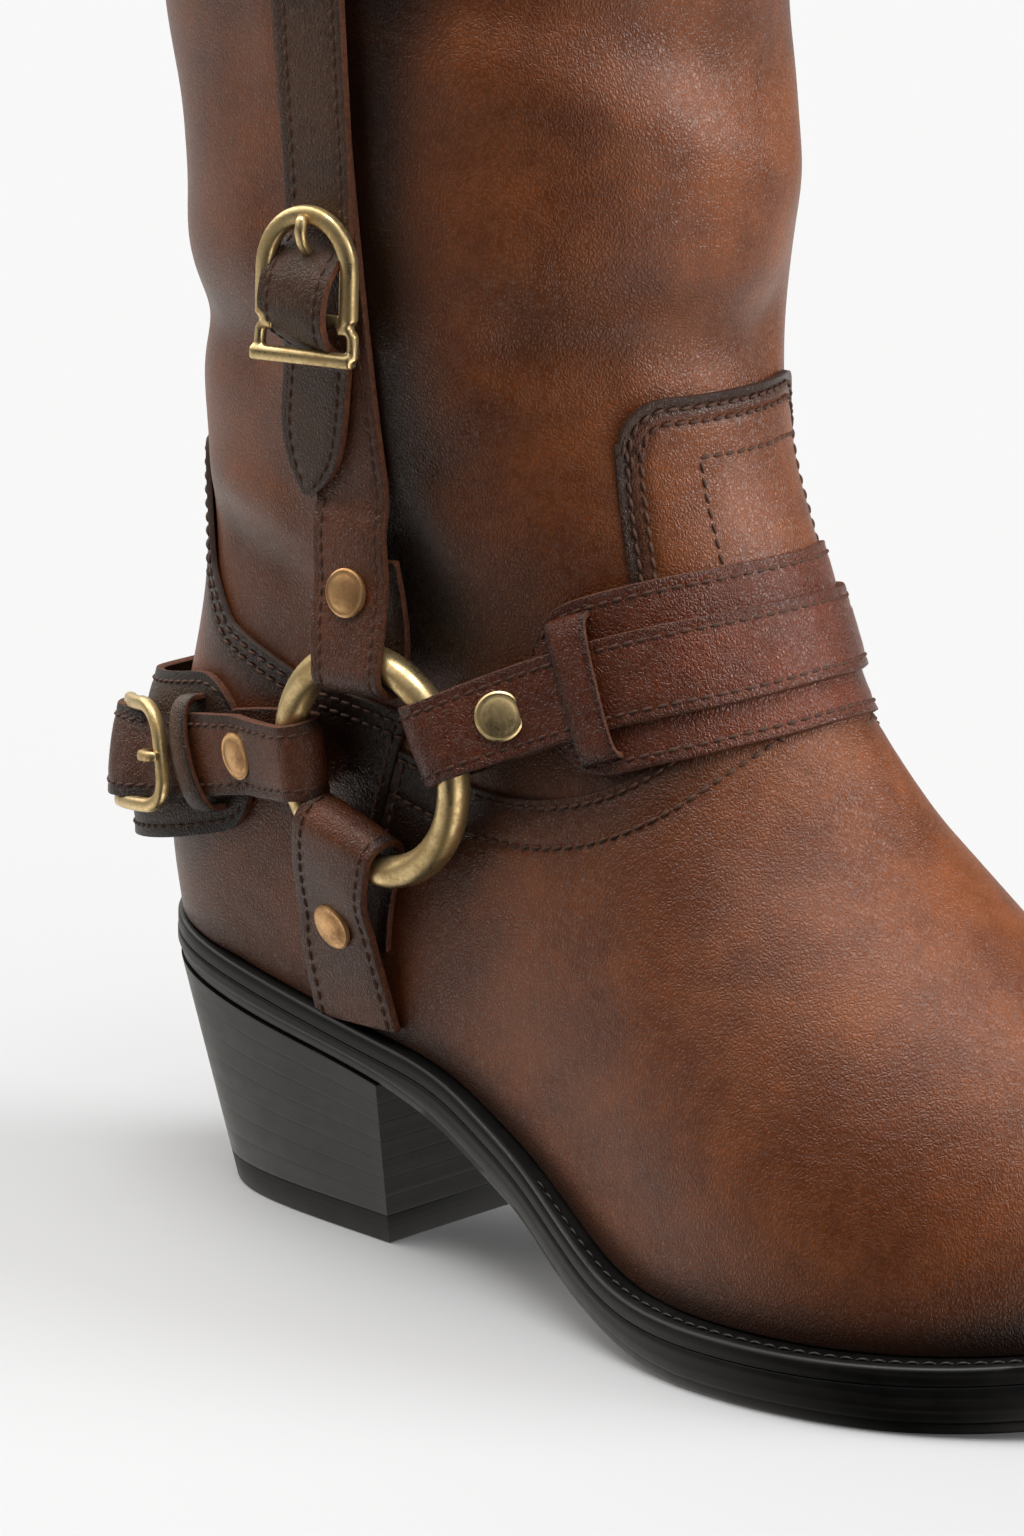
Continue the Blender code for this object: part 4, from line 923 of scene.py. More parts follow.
def edge_loop(inset, front=None):
    """Plan loop of the sole's edge: heel back, lateral stations, toe tip or breast, medial stations."""
    lateral, medial = edge_branches(inset if callable(inset) else lambda x: inset)
    first, last = lateral[0, 0], lateral[-1, 0]
    if front is None:
        inner = (first + (last - first) * (1 - np.cos(np.pi * np.arange(STATIONS + 1) / STATIONS)) / 2)[1:-1]
        ends = lateral[-1:]
    else:
        inner = first + (front - first) * (1 - np.cos(np.pi / 2 * np.arange(1, STATIONS + 1) / STATIONS))
        y = [np.interp(front, b[:, 0], b[:, 1]) for b in (lateral, medial)]
        ends = np.column_stack([np.full(21, front), np.linspace(*y, 23)[1:-1]])
    sides = [np.column_stack([inner, np.interp(inner, b[:, 0], b[:, 1])]) for b in (lateral, medial)]
    return np.vstack([lateral[:1], sides[0], ends, sides[1][::-1]])


def at_height(plan, height):
    return np.column_stack([plan, height(plan[:, 0])])


def above_top(plan, rise):
    """A loop at a height over the sole's top."""
    return at_height(plan, lambda x: sole_top(x) + rise)


def middle_line(loop):
    """The loop drawn in to its middle, each point onto the point across from it."""
    partner = np.concatenate([loop[:1], loop[:0:-1]])
    return (loop + partner) / 2


def over_ground(p):
    return p[..., 2]


def over_under(p):
    return p[..., 2] - sole_under(p[..., 0])


def closed_form(node, loops, finish, slot, layer=over_under):
    """A solid of loops from its under face to its top, closed along the middle of both."""
    rows = np.array([middle_line(loops[0]), *loops, middle_line(loops[-1])])
    piece = sheet(node + "_dressed", rows, (finish,), wrap=(False, True), marks={"layer": layer(rows)})
    finish_piece(piece, slot, node, angle=35)


# %% [markdown]
# Each table below is one section of the sole's edge. Sweeping it round the plan gives the outsole with
# its step, then the welt as a closed strip, and last the insole, which shows only from above.

# %% Outsole, welt and insole
WELT_THICK = 3.6
WELT_REACH = 6.8
WELT_STITCH_START = 118.0
LAYER_GAP = 0.05
OUTSOLE_EDGE = (
    # inset, share of the way from the under face to the top, height added
    (2.4, 0.0, 0.0), (1.3, 0.0, 0.25), (0.9, 0.0, 0.8), (0.85, 0.0, 2.2), (0.6, 0.0, 2.5), (0.15, 0.0, 2.75),
    (0.0, 0.0, 3.2), (0.0, 0.5, 1.0), (0.0, 0.8, 0.2), (0.0, 1.0, -0.3), (0.12, 1.0, -0.06), (0.6, 1.0, 0.0),
)


def outsole_loop(inset, share, add):
    """One loop of the outsole's edge, between its under face and the welt."""
    def height(x):
        return sole_under(x) * (1 - share) + (sole_top(x) - WELT_THICK - LAYER_GAP) * share + add

    return at_height(edge_loop(inset), height)


closed_form("outsole", [outsole_loop(*row) for row in OUTSOLE_EDGE], edge_black, "sole_edge")

WELT_SECTION = (
    # inset from the edge, depth under the sole's top
    (0.35, WELT_THICK), (0.12, WELT_THICK - 0.16), (0.1, 2.4), (0.1, 0.9), (0.3, 0.4), (0.8, 0.1), (1.5, 0.0),
    (2.4, 0.06),
)
inner = edge_loop(lambda x: sole_margin(x) + WELT_REACH)
rows = [above_top(edge_loop(inset), -depth) for inset, depth in WELT_SECTION]
rows = np.array(rows + [above_top(inner, 0.0), above_top(inner, -WELT_THICK)])
welt = sheet("welt_dressed", rows, (edge_black,), wrap=(True, True), marks={"layer": over_under(rows)})
finish_piece(welt, "sole_edge", "welt", angle=40)
stitch_line = above_top(edge_loop(lambda x: np.minimum(0.5 * sole_margin(x), 2.6)), 0.0)
front_half = stitch_line[stitch_line[:, 0] > WELT_STITCH_START]
welt_rows = [(front_half, np.broadcast_to((0.0, 0.0, 1.0), front_half.shape), 0.1)]


def board(grow):
    """Plan of the insole inside the lining, drawn in where its edge is eased."""
    return edge_loop(lambda x: sole_margin(x) + UPPER_DEPTH + UPPER_WALL + LINING_WALL + 0.3 + grow)


plug = edge_loop(lambda x: sole_margin(x) + WELT_REACH + 0.3)
INSOLE = (
    # plan, height over the sole's top
    (plug, -3.0), (plug, 0.3), (board(0.4), 0.3), (board(0.0), 0.8), (board(0.0), 2.4), (board(0.7), 2.95),
)
closed_form("insole", [above_top(*row) for row in INSOLE], lining_leather, "insole")

# %% [markdown]
# The heel is a stack of leather layers that lean forward and grow narrower to the ground. A hair of an
# inset at each joint lets a thin line show between the layers, and the top lift under them is rubber.

# %% Stacked heel and its top lift
HEEL_BREAST = (75.0, 72.0)
HEEL_BACK_FLOOR = 12.0
HEEL_TAPER = 0.8
TOP_LIFT = 6.0
LAYERS = 7
JOINT = 0.03
seat = edge_loop(0.6, front=HEEL_BREAST[0])
forward = (seat[:, 0] - seat[0, 0]) / (HEEL_BREAST[0] - seat[0, 0])
ground_x = HEEL_BACK_FLOOR + forward * (HEEL_BREAST[1] - HEEL_BACK_FLOOR)
ground = np.column_stack([ground_x, seat[:, 1] * HEEL_TAPER])
heel_top = sole_under(seat[:, 0]) - LAYER_GAP
heel_middle = np.array([40.0, 0.0])


def heel_loop(z, inset=0.0):
    """Plan of the heel at a height, drawn in a little where an edge is eased."""
    z = np.broadcast_to(z, heel_top.shape)
    plan = ground + (seat - ground) * (z / heel_top)[:, None]
    return np.column_stack([plan - inset * unit(plan - heel_middle), z])


shares = np.linspace(0, 1, LAYERS + 1)
stack_rows = []
for low, high in zip(shares[:-1], shares[1:]):
    for share, inset in ((0.0, JOINT), (0.05, 0.0), (0.12, 0.0), (0.88, 0.0), (0.95, 0.0)):
        level = low + share * (high - low)
        stack_rows.append(heel_loop(TOP_LIFT + LAYER_GAP + level * (heel_top - TOP_LIFT - LAYER_GAP), inset))
stack_rows.append(heel_loop(heel_top, JOINT))
closed_form("heel_stack", stack_rows, heel_black, "heel_stack", over_ground)
LIFT_EDGE = (
    # height, inset
    (0.0, 0.6), (0.15, 0.2), (0.6, 0.0), (TOP_LIFT - 0.5, 0.0), (TOP_LIFT - 0.1, 0.15), (TOP_LIFT, 0.4),
)
closed_form("heel_top_lift", [heel_loop(*row) for row in LIFT_EDGE], lift_rubber, "top_lift", over_ground)

# %% [markdown]
# The hardware is antique brass: yellow where hands polish it, brown in the rest, with a soft scatter of
# spots. The wear mixes both colours and also dulls the metal, because a worn place is never as bright.


# %% Brass finish
def brass(name, bright, aged, rough):
    material, place, join = new_finish(name, {"Specular IOR Level": 0.5})
    cloud = place.noise(130.0, 5.0, 0.65)
    spot = place.noise(1500.0, 3.0, 0.7)
    wear = (0.7 * cloud + 0.3 * spot).step(0.38, 0.68)
    join("Base Color", wear.mix(bright, aged))
    join("Metallic", 0.92 - 0.3 * wear)
    join("Roughness", rough + 0.2 * wear + 0.08 * (spot - 0.5))
    join("Normal", (spot + cloud * 0.6).bump(0.12, 0.0001))
    return material


antique_brass = brass("antique_brass", rgb(238, 212, 158), rgb(184, 153, 99), 0.27)
copper_brass = brass("coppery_cap", rgb(212, 168, 116), rgb(160, 116, 74), 0.36)

# %% [markdown]
# A ring is a small circle spun once round its centre, as a wire is bent round a mandrel. Each ring lies
# flat along its side of the boot, and stands off just far enough for the straps that go under its wire.

# %% Rings
RING_X, RING_Z = 81.0, 100.0
RING_RADIUS = 20.7
RING_WIRE = 3.1
RING_STAND = 6.4
TABS = {
    # name: angle of the ring's wire, distance of the rivet from it
    "instep": (25.0, 15.0),
    "shaft": (95.0, 14.5),
    "heel": (182.0, 16.5),
    "sole": (-108.0, 15.0),
}


def ring_frame(side):
    """Centre and axes of a ring that lies along one side, clear of the leather by its stand."""
    turn = np.radians([angle for angle, _ in TABS.values()])
    foot = side_points(RING_X + RING_RADIUS * np.cos(turn), RING_Z + RING_RADIUS * np.sin(turn), side)
    centre = side_points([RING_X], [RING_Z], side)[0]
    out = unit(np.cross(foot[0] - foot[2], foot[1] - foot[3]))
    out = out * np.sign(out[1] * side)
    ahead = unit(np.array([1.0, 0, 0]) - out[0] * out)
    up = np.cross(out, ahead)
    up = up * np.sign(up[2])
    wire = centre + RING_RADIUS * (np.cos(turn)[:, None] * ahead + np.sin(turn)[:, None] * up)
    settled = settle(wire, 7)
    rise = np.sum((wire - settled) * normal(settled), axis=-1)
    return centre + out * (RING_STAND - rise.min()), ahead, up, out


def seat_mesh(piece, origin, *axes):
    """Carry a piece modelled round its own origin, in millimetres, to a place on the boot."""
    flat = np.empty(len(piece.data.vertices) * 3)
    piece.data.vertices.foreach_get("co", flat)
    local = flat.reshape(-1, 3)
    piece.data.vertices.foreach_set("co", in_metres(origin + local @ np.array(axes)).ravel())
    piece.data.update()
    weld(piece, 0.000002)


frames = {"lateral": ring_frame(-1), "medial": ring_frame(1)}
for side, (centre, ahead, up, out) in frames.items():
    ring = fresh(bpy.ops.mesh.primitive_circle_add, vertices=28, radius=RING_WIRE, location=(RING_RADIUS, 0, 0),
                 rotation=(math.pi / 2, 0, 0))
    bpy.ops.object.transform_apply(location=True, rotation=True, scale=True)
    edit_all()
    bpy.ops.mesh.spin(steps=120, angle=2 * math.pi, center=(0, 0, 0), axis=(0, 0, 1))
    bpy.ops.mesh.select_all(action="SELECT")
    bpy.ops.mesh.remove_doubles(threshold=0.01)
    bpy.ops.object.mode_set(mode="OBJECT")
    ring.name = ring.data.name = "ring_%s_dressed" % side
    seat_mesh(ring, centre, ahead, up, out)
    ring.data.materials.append(antique_brass)
    finish_piece(ring, "antique_brass", "ring_" + side)

# %% [markdown]
# A strap is a long cut of thick leather. Its path is a line on the last that starts under a ring, goes
# round the wire and comes back over itself, so it is described by rows: how far along, how high, how
# wide. A smooth curve through the rows gives a fine grid, which is thickened with its raw rim.


# %% Lines that straps follow
STRAP = 1.6
STRAP_HALF = 8.4
LIE_GAP = 0.12
LAYER = STRAP + 0.12
LOW = LIE_GAP + STRAP / 2
HIGH = LOW + LAYER
FOLD = RING_WIRE + 0.35 + STRAP / 2
INNER_LAYER = 20.5


class Line:
    """A line on the last, measured from the ring wire it leaves."""

    def __init__(self, points, ring, tab, end_ring=None):
        self.points = settle(np.asarray(points, float))
        self.along = lengths_along(self.points)
        self.rings = [ring] if end_ring is None else [ring, end_ring]
        self.turn = np.radians(TABS[tab][0])
        self.along = self.along - self.wire_foot(0, np.zeros(1))[0][0]
        self.length = self.along[-1] if end_ring is None else self.wire_foot(1, np.zeros(1))[0][0]

    def wire_foot(self, which, v):
        """Distance along the line and height of a ring's wire, v to the side of the line."""
        centre, ahead, up, _ = self.rings[which]
        turned = self.turn + np.radians(np.linspace(-40, 40, 33))
        wire = centre + RING_RADIUS * (np.cos(turned)[:, None] * ahead + np.sin(turned)[:, None] * up)
        foot = settle(wire, 7)
        near = int(np.argmin(np.linalg.norm(self.points - foot[len(foot) // 2], axis=1)))
        step = unit(self.points[min(near + 2, len(self.points) - 1)] - self.points[max(near - 2, 0)])
        off = foot - self.points[near]
        beside = off @ np.cross(normal(self.points[near][None])[0], step)
        order = np.argsort(beside)
        along = np.interp(v, beside[order], (self.along[near] + off @ step)[order])
        return along, np.interp(v, beside[order], np.linalg.norm(wire - foot, axis=1)[order])

    def at(self, a):
        return read_along(a, self.along, self.points)

    def over(self, a, v, h, flat=False):
        """Points a along, v beside and h above the last, with the directions there."""
        a, v, h = np.broadcast_arrays(*(np.asarray(k, float) for k in (a, v, h)))
        place = self.at(a)
        ahead = unit(self.at(a + 2) - self.at(a - 2))
        out = normal(place)
        beside = np.cross(out, ahead)
        point = place + v[..., None] * beside
        if not flat:
            point = settle(point)
            out = normal(point)
        return point + h[..., None] * out, ahead, beside, out


def smooth_through(knots, values, at):
    """A curve through rows that never swings past them."""
    step = np.diff(knots)
    rate = np.diff(values, axis=0) / step[:, None]
    slopes = np.zeros_like(values)
    product = rate[:-1] * rate[1:]
    both = rate[:-1] + rate[1:]
    mean = 2 * product / np.where(np.abs(both) < 1e-9, 1e-9, both)
    slopes[1:-1] = np.where(product > 0, mean, 0.0)
    slopes[0], slopes[-1] = rate[0], rate[-1]
    i = np.clip(np.searchsorted(knots, at) - 1, 0, len(step) - 1)
    t = ((at - knots[i]) / step[i])[:, None]
    w = step[i][:, None]
    a = (1 + 2 * t) * (1 - t) ** 2 * values[i] + t * (1 - t) ** 2 * w * slopes[i]
    return a + t * t * (3 - 2 * t) * values[i + 1] + t * t * (t - 1) * w * slopes[i + 1]


def calmed(field, rows=6):
    """Rows of a strap with small kinks along it smoothed away."""
    step = np.arange(-2 * rows, 2 * rows + 1)
    weight = np.exp(-(step / rows) ** 2)
    reach = min(2 * rows, len(field) - 1)
    padded = np.pad(field, ((reach, reach), (0, 0), (0, 0)), mode="reflect", reflect_type="odd")
    kept = weight[2 * rows - reach:2 * rows + reach + 1]
    moved = sum(w * padded[k:k + len(field)] for k, w in enumerate(kept))
    return moved / kept.sum()


ROW_STEP = 0.9
ACROSS = 17
STITCH_INSET = 2.1
STEEP_REACH = 12


def strap_grid(line, rows, flat=False, face=1, across=ACROSS):
    """Middle of a strap as a fine grid, the direction of its face, its half width and its facing."""
    share = np.linspace(-1, 1, across)
    half = np.array([row[2] for row in rows], float)
    place = np.zeros((len(rows), across))
    height = np.zeros((len(rows), across))
    for i, (a, h, _, ring) in enumerate(rows):
        if ring is None:
            place[i], height[i] = a, h
        else:
            foot, rise = line.wire_foot(ring, half[i] * share)
            place[i] = foot.min() + a if ring == 0 else foot.max() - a
            height[i] = rise + h
    middle = across // 2
    run = np.hypot(np.diff(place[:, middle]), np.diff(height[:, middle]))
    knots = np.concatenate([[0.0], np.cumsum(np.maximum(run, 0.05))])
    at = np.linspace(0, knots[-1], max(12, int(knots[-1] / ROW_STEP)))
    place, height = (smooth_through(knots, k, at) for k in (place, height))
    half = smooth_through(knots, half[:, None], at)
    side = half * share
    run_a, run_h = np.gradient(place, axis=0), np.gradient(height, axis=0)
    size = np.maximum(np.hypot(run_a, run_h), 1e-6)
    point, ahead, _, out = line.over(place, side, height, flat)
    steep = np.pad(np.abs(run_h / size), ((STEEP_REACH, STEEP_REACH), (0, 0)), mode="edge")
    steep = np.max([steep[k:k + len(place)] for k in range(0, 2 * STEEP_REACH + 1, 2)], axis=0)
    level = np.exp(-(steep / 0.3) ** 2)[..., None]
    point = point + level * (calmed(point) - point)
    out = unit(out + level * (calmed(out) - out))
    lift = face * ((run_a / size)[..., None] * out - (run_h / size)[..., None] * ahead)
    inside = half - np.abs(side)
    crown = 0.18 * (1 - (side / half) ** 2) + pulled(inside, (STITCH_INSET,), 0.22, 0.8)
    return point + crown[..., None] * lift, lift, half, np.sum(lift * out, axis=-1)[:, middle]


strap_faces = {}


def strap(name, line, rows, finish, bare=(0.0, 0.0), shade=(0.0, 0.0), **settings):
    """A strap with its raw rim, and two rows of stitches on its face that leave both ends bare."""
    grid, lift, half, facing = strap_grid(line, rows, **settings)
    lanes = grid.shape[1]
    centre = grid[:, lanes // 2]
    strap_faces[name] = centre, lift[:, lanes // 2], facing
    inside = half * (1 - np.abs(np.linspace(-1, 1, lanes)))
    # Cut edges are burnished darker; where the strap turns away from the last round the ring, it is darkened as
    # painted shade.
    burnish = 0.45 * np.exp(-(inside / 2.0) ** 2) + 0.4 * (1 - eased(facing, 0.2, 0.95))[:, None]
    burnish = np.clip(burnish + np.linspace(*shade, len(grid))[:, None], 0, 1)
    piece = sheet(name + "_dressed", grid, (finish, raw_edge), lift, marks={"burnish": burnish})
    thicken(piece, STRAP, offset=0.0, ease=0.28)
    finish_piece(piece, "strap_leather", name)
    seen = np.flatnonzero(facing > -0.1)
    length = lengths_along(centre)
    keep = seen[(length[seen] >= length[seen[0]] + bare[0]) & (length[seen] <= length[-1] - bare[1])]
    for sign in (-1, 1):
        share = sign * (1 - STITCH_INSET / np.maximum(half[keep, 0], STITCH_INSET + 0.3))
        at = (share + 1) / 2 * (lanes - 1)
        low = np.clip(at.astype(int), 0, lanes - 2)
        part = (at - low)[:, None]
        path = grid[keep, low] * (1 - part) + grid[keep, low + 1] * part
        up = unit(lift[keep, low] * (1 - part) + lift[keep, low + 1] * part)
        thread_rows.append((path + STRAP / 2 * up, up, 0.0))


RIVET_LINE = 15.5


def fold_rows(line, half, stand, inner_end=INNER_LAYER):
    """Rows from the end of the inner layer, round the ring's wire, and straight on to the rivet."""
    arc = [(FOLD * np.cos(t), FOLD * np.sin(t), half, 0) for t in np.radians(np.arange(270, 74, -15))]
    foot, rise = (float(k[0]) for k in line.wire_foot(0, np.zeros(1)))
    start, top = foot + arc[-1][0], rise + arc[-1][1]
    way = [(start + k * (RIVET_LINE - start), top + k * (HIGH + stand - top), half, None)
           for k in (0.35, 0.65, 1.0)]
    return [(inner_end, LOW, half, None), (14.0, LOW, half, None), (9.0, LOW + 0.1, half, None), *arc, *way]


def mirrored(line, rows):
    """The same rows seen from the line's far end."""
    return [(a if wire is not None else line.length - a, h, half, 1 if wire is not None else None)
            for a, h, half, wire in reversed(rows)]


def girdle(table, first, last, count):
    """Points where the last meets a rising sheet, round from one direction to another."""
    turn = np.radians(np.linspace(first, last, count))
    return sheet_loop(column(table, 1), 75.0, np.column_stack([np.cos(turn), np.sin(turn)]))


def upright(table, first, last, side, count):
    """Points up or down one side of the last."""
    z = np.linspace(first, last, count)
    return side_points(column(table, 1)(z), z, side)


INSTEP_LINE = ((60.0, 91.0), (81.0, 100.0), (112.0, 114.0), (130.0, 121.5), (150.0, 127.5), (170.0, 130.0))
HEEL_LINE = ((-10.0, 80.0), (5.0, 84.0), (42.0, 94.5), (81.0, 100.0), (100.0, 101.0))
SHAFT_LINE = ((90.0, 80.2), (121.0, 79.2), (171.0, 79.2), (245.0, 76.5), (305.0, 75.5))
SOLE_LINE = ((38.0, 69.5), (52.0, 69.0), (66.0, 69.0), (81.0, 73.0), (105.0, 82.0))
BILLET_LINE = ((120.0, 65.0), (150.0, 69.2), (165.0, 73.4), (190.0, 78.4), (235.0, 79.6), (305.0, 78.8))
instep = Line(girdle(INSTEP_LINE, -88, 88, 160), frames["lateral"], "instep", frames["medial"])
heel = Line(girdle(HEEL_LINE, -76, -284, 180), frames["lateral"], "heel", frames["medial"])
print("from ring to ring:", round(float(instep.length)), "mm instep,", round(float(heel.length)), "mm heel")

# %% [markdown]
# Under the harness lie two wide bands, one over the instep and one round the heel, with round ends.
# The narrow straps lie on them. They stand a little higher beside the rings, as thick leather does before
# it bends, and at the back of the heel the whole harness hangs loose.

# %% Bands and straps of the foot
BASE_HALF = 16.6
BASE_START = 19.8
BASE_ROUND = 9.0


def base_rows(line, wide=BASE_HALF):
    """A wide band from one side to the other, with rounded ends."""
    tip = BASE_ROUND * (1 - np.cos(np.linspace(0.15, np.pi / 2, 9)))
    a = np.concatenate([tip, np.linspace(12, line.length / 2 - BASE_START, 16)])
    swell = 0.42 + 0.58 * np.sqrt(np.clip(1 - (1 - a / BASE_ROUND) ** 2, 0, 1))
    half = wide * np.where(a < BASE_ROUND, swell, 1.0)
    first = [(BASE_START + k, LOW, w, None) for k, w in zip(a, half)]
    return first + [(line.length - k, h, w, None) for k, h, w, _ in first[-2::-1]]


BASE_BARE = (3.0, 3.0)
BASE_ACROSS = 27
strap("instep_base", instep, base_rows(instep), strap_red, BASE_BARE, across=BASE_ACROSS)
INSTEP_STAND = 1.4
instep_fold = fold_rows(instep, STRAP_HALF, INSTEP_STAND)
over_base = [(a, HIGH + INSTEP_STAND * (1 - eased(min(a, instep.length - a), 16, 32)), STRAP_HALF, None)
             for a in np.linspace(16.0, instep.length - 16.0, 30)[1:-1]]
strap("instep_strap", instep, instep_fold + over_base + mirrored(instep, instep_fold), strap_red)

HEEL_BAR = 52.0
HEEL_HALF = 7.8
HEEL_BASE_HALF = 15.6
LOOSE = 6.0
LOOSE_START, LOOSE_END = (24, 58), (90, 130)
HEEL_STAND = 3.2


def loose(a):
    """How far the harness stands off the back of the heel."""
    return LOOSE * eased(a, *LOOSE_START) * (1 - eased(a, *LOOSE_END))


def heel_height(a):
    """How high the heel strap lies, from the rivet round the back to the other rivet."""
    outer = HEEL_STAND * (1 - eased(a, 15, 54))
    return HIGH + loose(a) + outer + INSTEP_STAND * (1 - eased(heel.length - a, 16, 34))


hanging = [(a, h + loose(a), half, ring) for a, h, half, ring in base_rows(heel, HEEL_BASE_HALF)]
strap("heel_base", heel, hanging, strap_olive, BASE_BARE, (0.55, 0.3), across=BASE_ACROSS)
heel_fold = fold_rows(heel, HEEL_HALF, HEEL_STAND)
heel_run = [(a, heel_height(a), HEEL_HALF, None) for a in np.linspace(20.0, HEEL_BAR - 9.0, 8)]
BILLET_END = (
    # distance beyond the bar, height over the strap, share of the width
    (-3.5, 3.1, 1.0), (0.0, 4.0, 1.0), (4.0, 3.4, 1.0), (10.0, LAYER + 0.4, 1.0), (14.0, LAYER, 1.0),
    (16.0, LAYER, 0.9), (17.4, LAYER, 0.66), (18.4, LAYER, 0.3),
)
heel_run += [(HEEL_BAR + a, heel_height(HEEL_BAR + a) + h, share * HEEL_HALF, None) for a, h, share in BILLET_END]
strap("heel_strap_lateral", heel, heel_fold + heel_run, strap_brown, (0.0, 4.0), (-0.2, 0.6))
far_places = np.linspace(heel.length - 16.0, HEEL_BAR + 2.2, 18)[1:]
around = [(a, heel_height(a), HEEL_HALF, None) for a in far_places]
far_fold = mirrored(heel, fold_rows(heel, HEEL_HALF, INSTEP_STAND))
strap("heel_strap_medial", heel, far_fold[::-1] + around, strap_olive, face=-1)

# %% [markdown]
# Keepers are short loops that hold a strap's end. A plain box would look stamped, so the loop is arched
# across the strap, rounded along it, and a little wider where its ends go into the band.


# %% Keepers
def keeper(name, line, a, half, low, top, reach, finish):
    """A rounded loop across a strap, its ends let into the band."""
    t = np.linspace(-1, 1, 61)
    v = reach * np.sin(t * np.pi / 2)
    h = low + (top - low) * np.cos(t * np.pi / 2) ** 0.55
    share = np.linspace(-1, 1, 11)
    spread = 1 + 0.25 * np.abs(t) ** 4
    along = a + half * share * spread[:, None]
    lie = h[:, None] + 0.55 * (1 - share ** 2) - 0.25
    grid, _, _, out = line.over(along, np.broadcast_to(v[:, None], along.shape), lie)
    burnish = np.broadcast_to(0.75 * np.exp(-((1 - np.abs(share)) * half / 1.2) ** 2), along.shape)
    piece = sheet(name + "_dressed", grid, (finish, raw_edge), out, marks={"burnish": burnish})
    thicken(piece, KEEPER_WALL, offset=0.0, ease=0.4, segments=3)
    finish_piece(piece, "strap_leather", name)


KEEPER_WALL = 1.4
KEEPER_PLACE = 30.0
HEEL_KEEPER = 30.2
BAND_TOP = LOW + STRAP / 2
for side, a in (("lateral", KEEPER_PLACE), ("medial", instep.length - KEEPER_PLACE)):
    keeper("instep_keeper_" + side, instep, a, 3.6, BAND_TOP - 0.4, HIGH + 1.9, 13.4, strap_red)
heel_low = BAND_TOP - 0.3 + loose(HEEL_KEEPER)
keeper("heel_keeper", heel, HEEL_KEEPER, 2.4, heel_low, heel_height(HEEL_KEEPER) + 2.4, 10.6, strap_olive)

# %% [markdown]
# On each side a strap goes up the shaft and a tab goes down to the sole, both folded round the ring.
# A rivet closes every fold. Its cap starts as a filled disc that is extruded to its rim, then inset and
# raised into a low dome. It is seated on the face of its strap, because the folds stand at a slant.

# %% Shaft straps, sole tabs and rivets
SHAFT_STRAP_TOP = 290.0
lie = LOW - UPPER_DEPTH
rivet_places = []
RIVET_SHIFT = {"instep": 3.2, "heel": 2.4, "shaft": 1.8}
RIVET_GAP = 0.2


def on_face(name, near):
    """Place and axes on the outer face of a strap, next to a point."""
    path, up, facing = strap_faces[name]
    row = int(np.argmin(np.linalg.norm(path - near, axis=1) + 100 * (facing < 0.3)))
    ahead = unit(path[row + 1] - path[row - 1])
    return path[row] + (STRAP / 2 + RIVET_GAP) * up[row], ahead, np.cross(up[row], ahead), up[row]


for side, sign in (("lateral", -1), ("medial", 1)):
    shaft = Line(upright(SHAFT_LINE, 112.0, 300.0, sign, 100), frames[side], "shaft")
    top = shaft.along[int(np.argmin(np.abs(shaft.points[:, 2] - SHAFT_STRAP_TOP)))]
    rise = [(20.0, HIGH + 1.3), (25.0, HIGH), (30.0, lie + 0.6), *((a, lie) for a in np.linspace(35.0, top, 16))]
    rise = [(a, h, STRAP_HALF, None) for a, h in rise]
    strap("shaft_strap_" + side, shaft, fold_rows(shaft, STRAP_HALF, 2.2, 18.5) + rise, strap_brown)
    sole = Line(upright(SOLE_LINE, 95.0, 44.0, sign, 80), frames[side], "sole")
    low = sole.along[int(np.argmin(np.abs(sole.points[:, 2] - sole_top(sole.points[:, 0]) - 1.6)))]
    fall = [(20.5, HIGH + 1.6, 10.4, None), (low * 0.86, LOW + 1.2, 10.9, None), (low, LOW + 0.3, 11.2, None)]
    strap("sole_strap_" + side, sole, fold_rows(sole, 9.8, 2.4, 20.0) + fall, strap_brown)
    for tab, line in (("instep", instep), ("heel", heel), ("shaft", shaft), ("sole", sole)):
        far_end = tab in ("instep", "heel") and sign > 0
        a = line.length - TABS[tab][1] if far_end else TABS[tab][1]
        a += RIVET_SHIFT.get(tab, 0.0) * (1 if far_end else -1)
        carrier = "instep_strap" if tab == "instep" else "%s_strap_%s" % (tab, side)
        near = line.over(a, 0.0, HIGH + 2.0)[0]
        rivet_places.append(("rivet_%s_%s" % (tab, side), on_face(carrier, near)))

RIVET_RADIUS = 4.6
RIVET_RIM = 0.55
DOME = (
    # inset of the next ring, rise of the face
    (0.35, 0.22), (0.35, -0.1), (0.6, 0.24), (0.9, 0.2), (1.0, 0.1), (0.7, 0.03),
)
for name, (base, ahead, beside, out) in rivet_places:
    cap = fresh(bpy.ops.mesh.primitive_circle_add, vertices=40, radius=RIVET_RADIUS, fill_type="NGON")
    edit_all()
    bpy.ops.mesh.extrude_region_move(TRANSFORM_OT_translate={"value": (0, 0, RIVET_RIM)})
    for inset, rise in DOME:
        bpy.ops.mesh.inset(thickness=inset)
        bpy.ops.transform.translate(value=(0, 0, rise))
    bpy.ops.object.mode_set(mode="OBJECT")
    cap.name = cap.data.name = name + "_dressed"
    seat_mesh(cap, base, ahead, beside, out)
    cap.data.materials.append(antique_brass if "instep" in name else copper_brass)
    finish_piece(cap, "antique_brass", name, angle=40)

# %% [markdown]
# The buckle on the outer side hangs on its own billet, which passes under the bow, over the bar and
# under the lower bar again. Its weave is a table of heights up the boot.

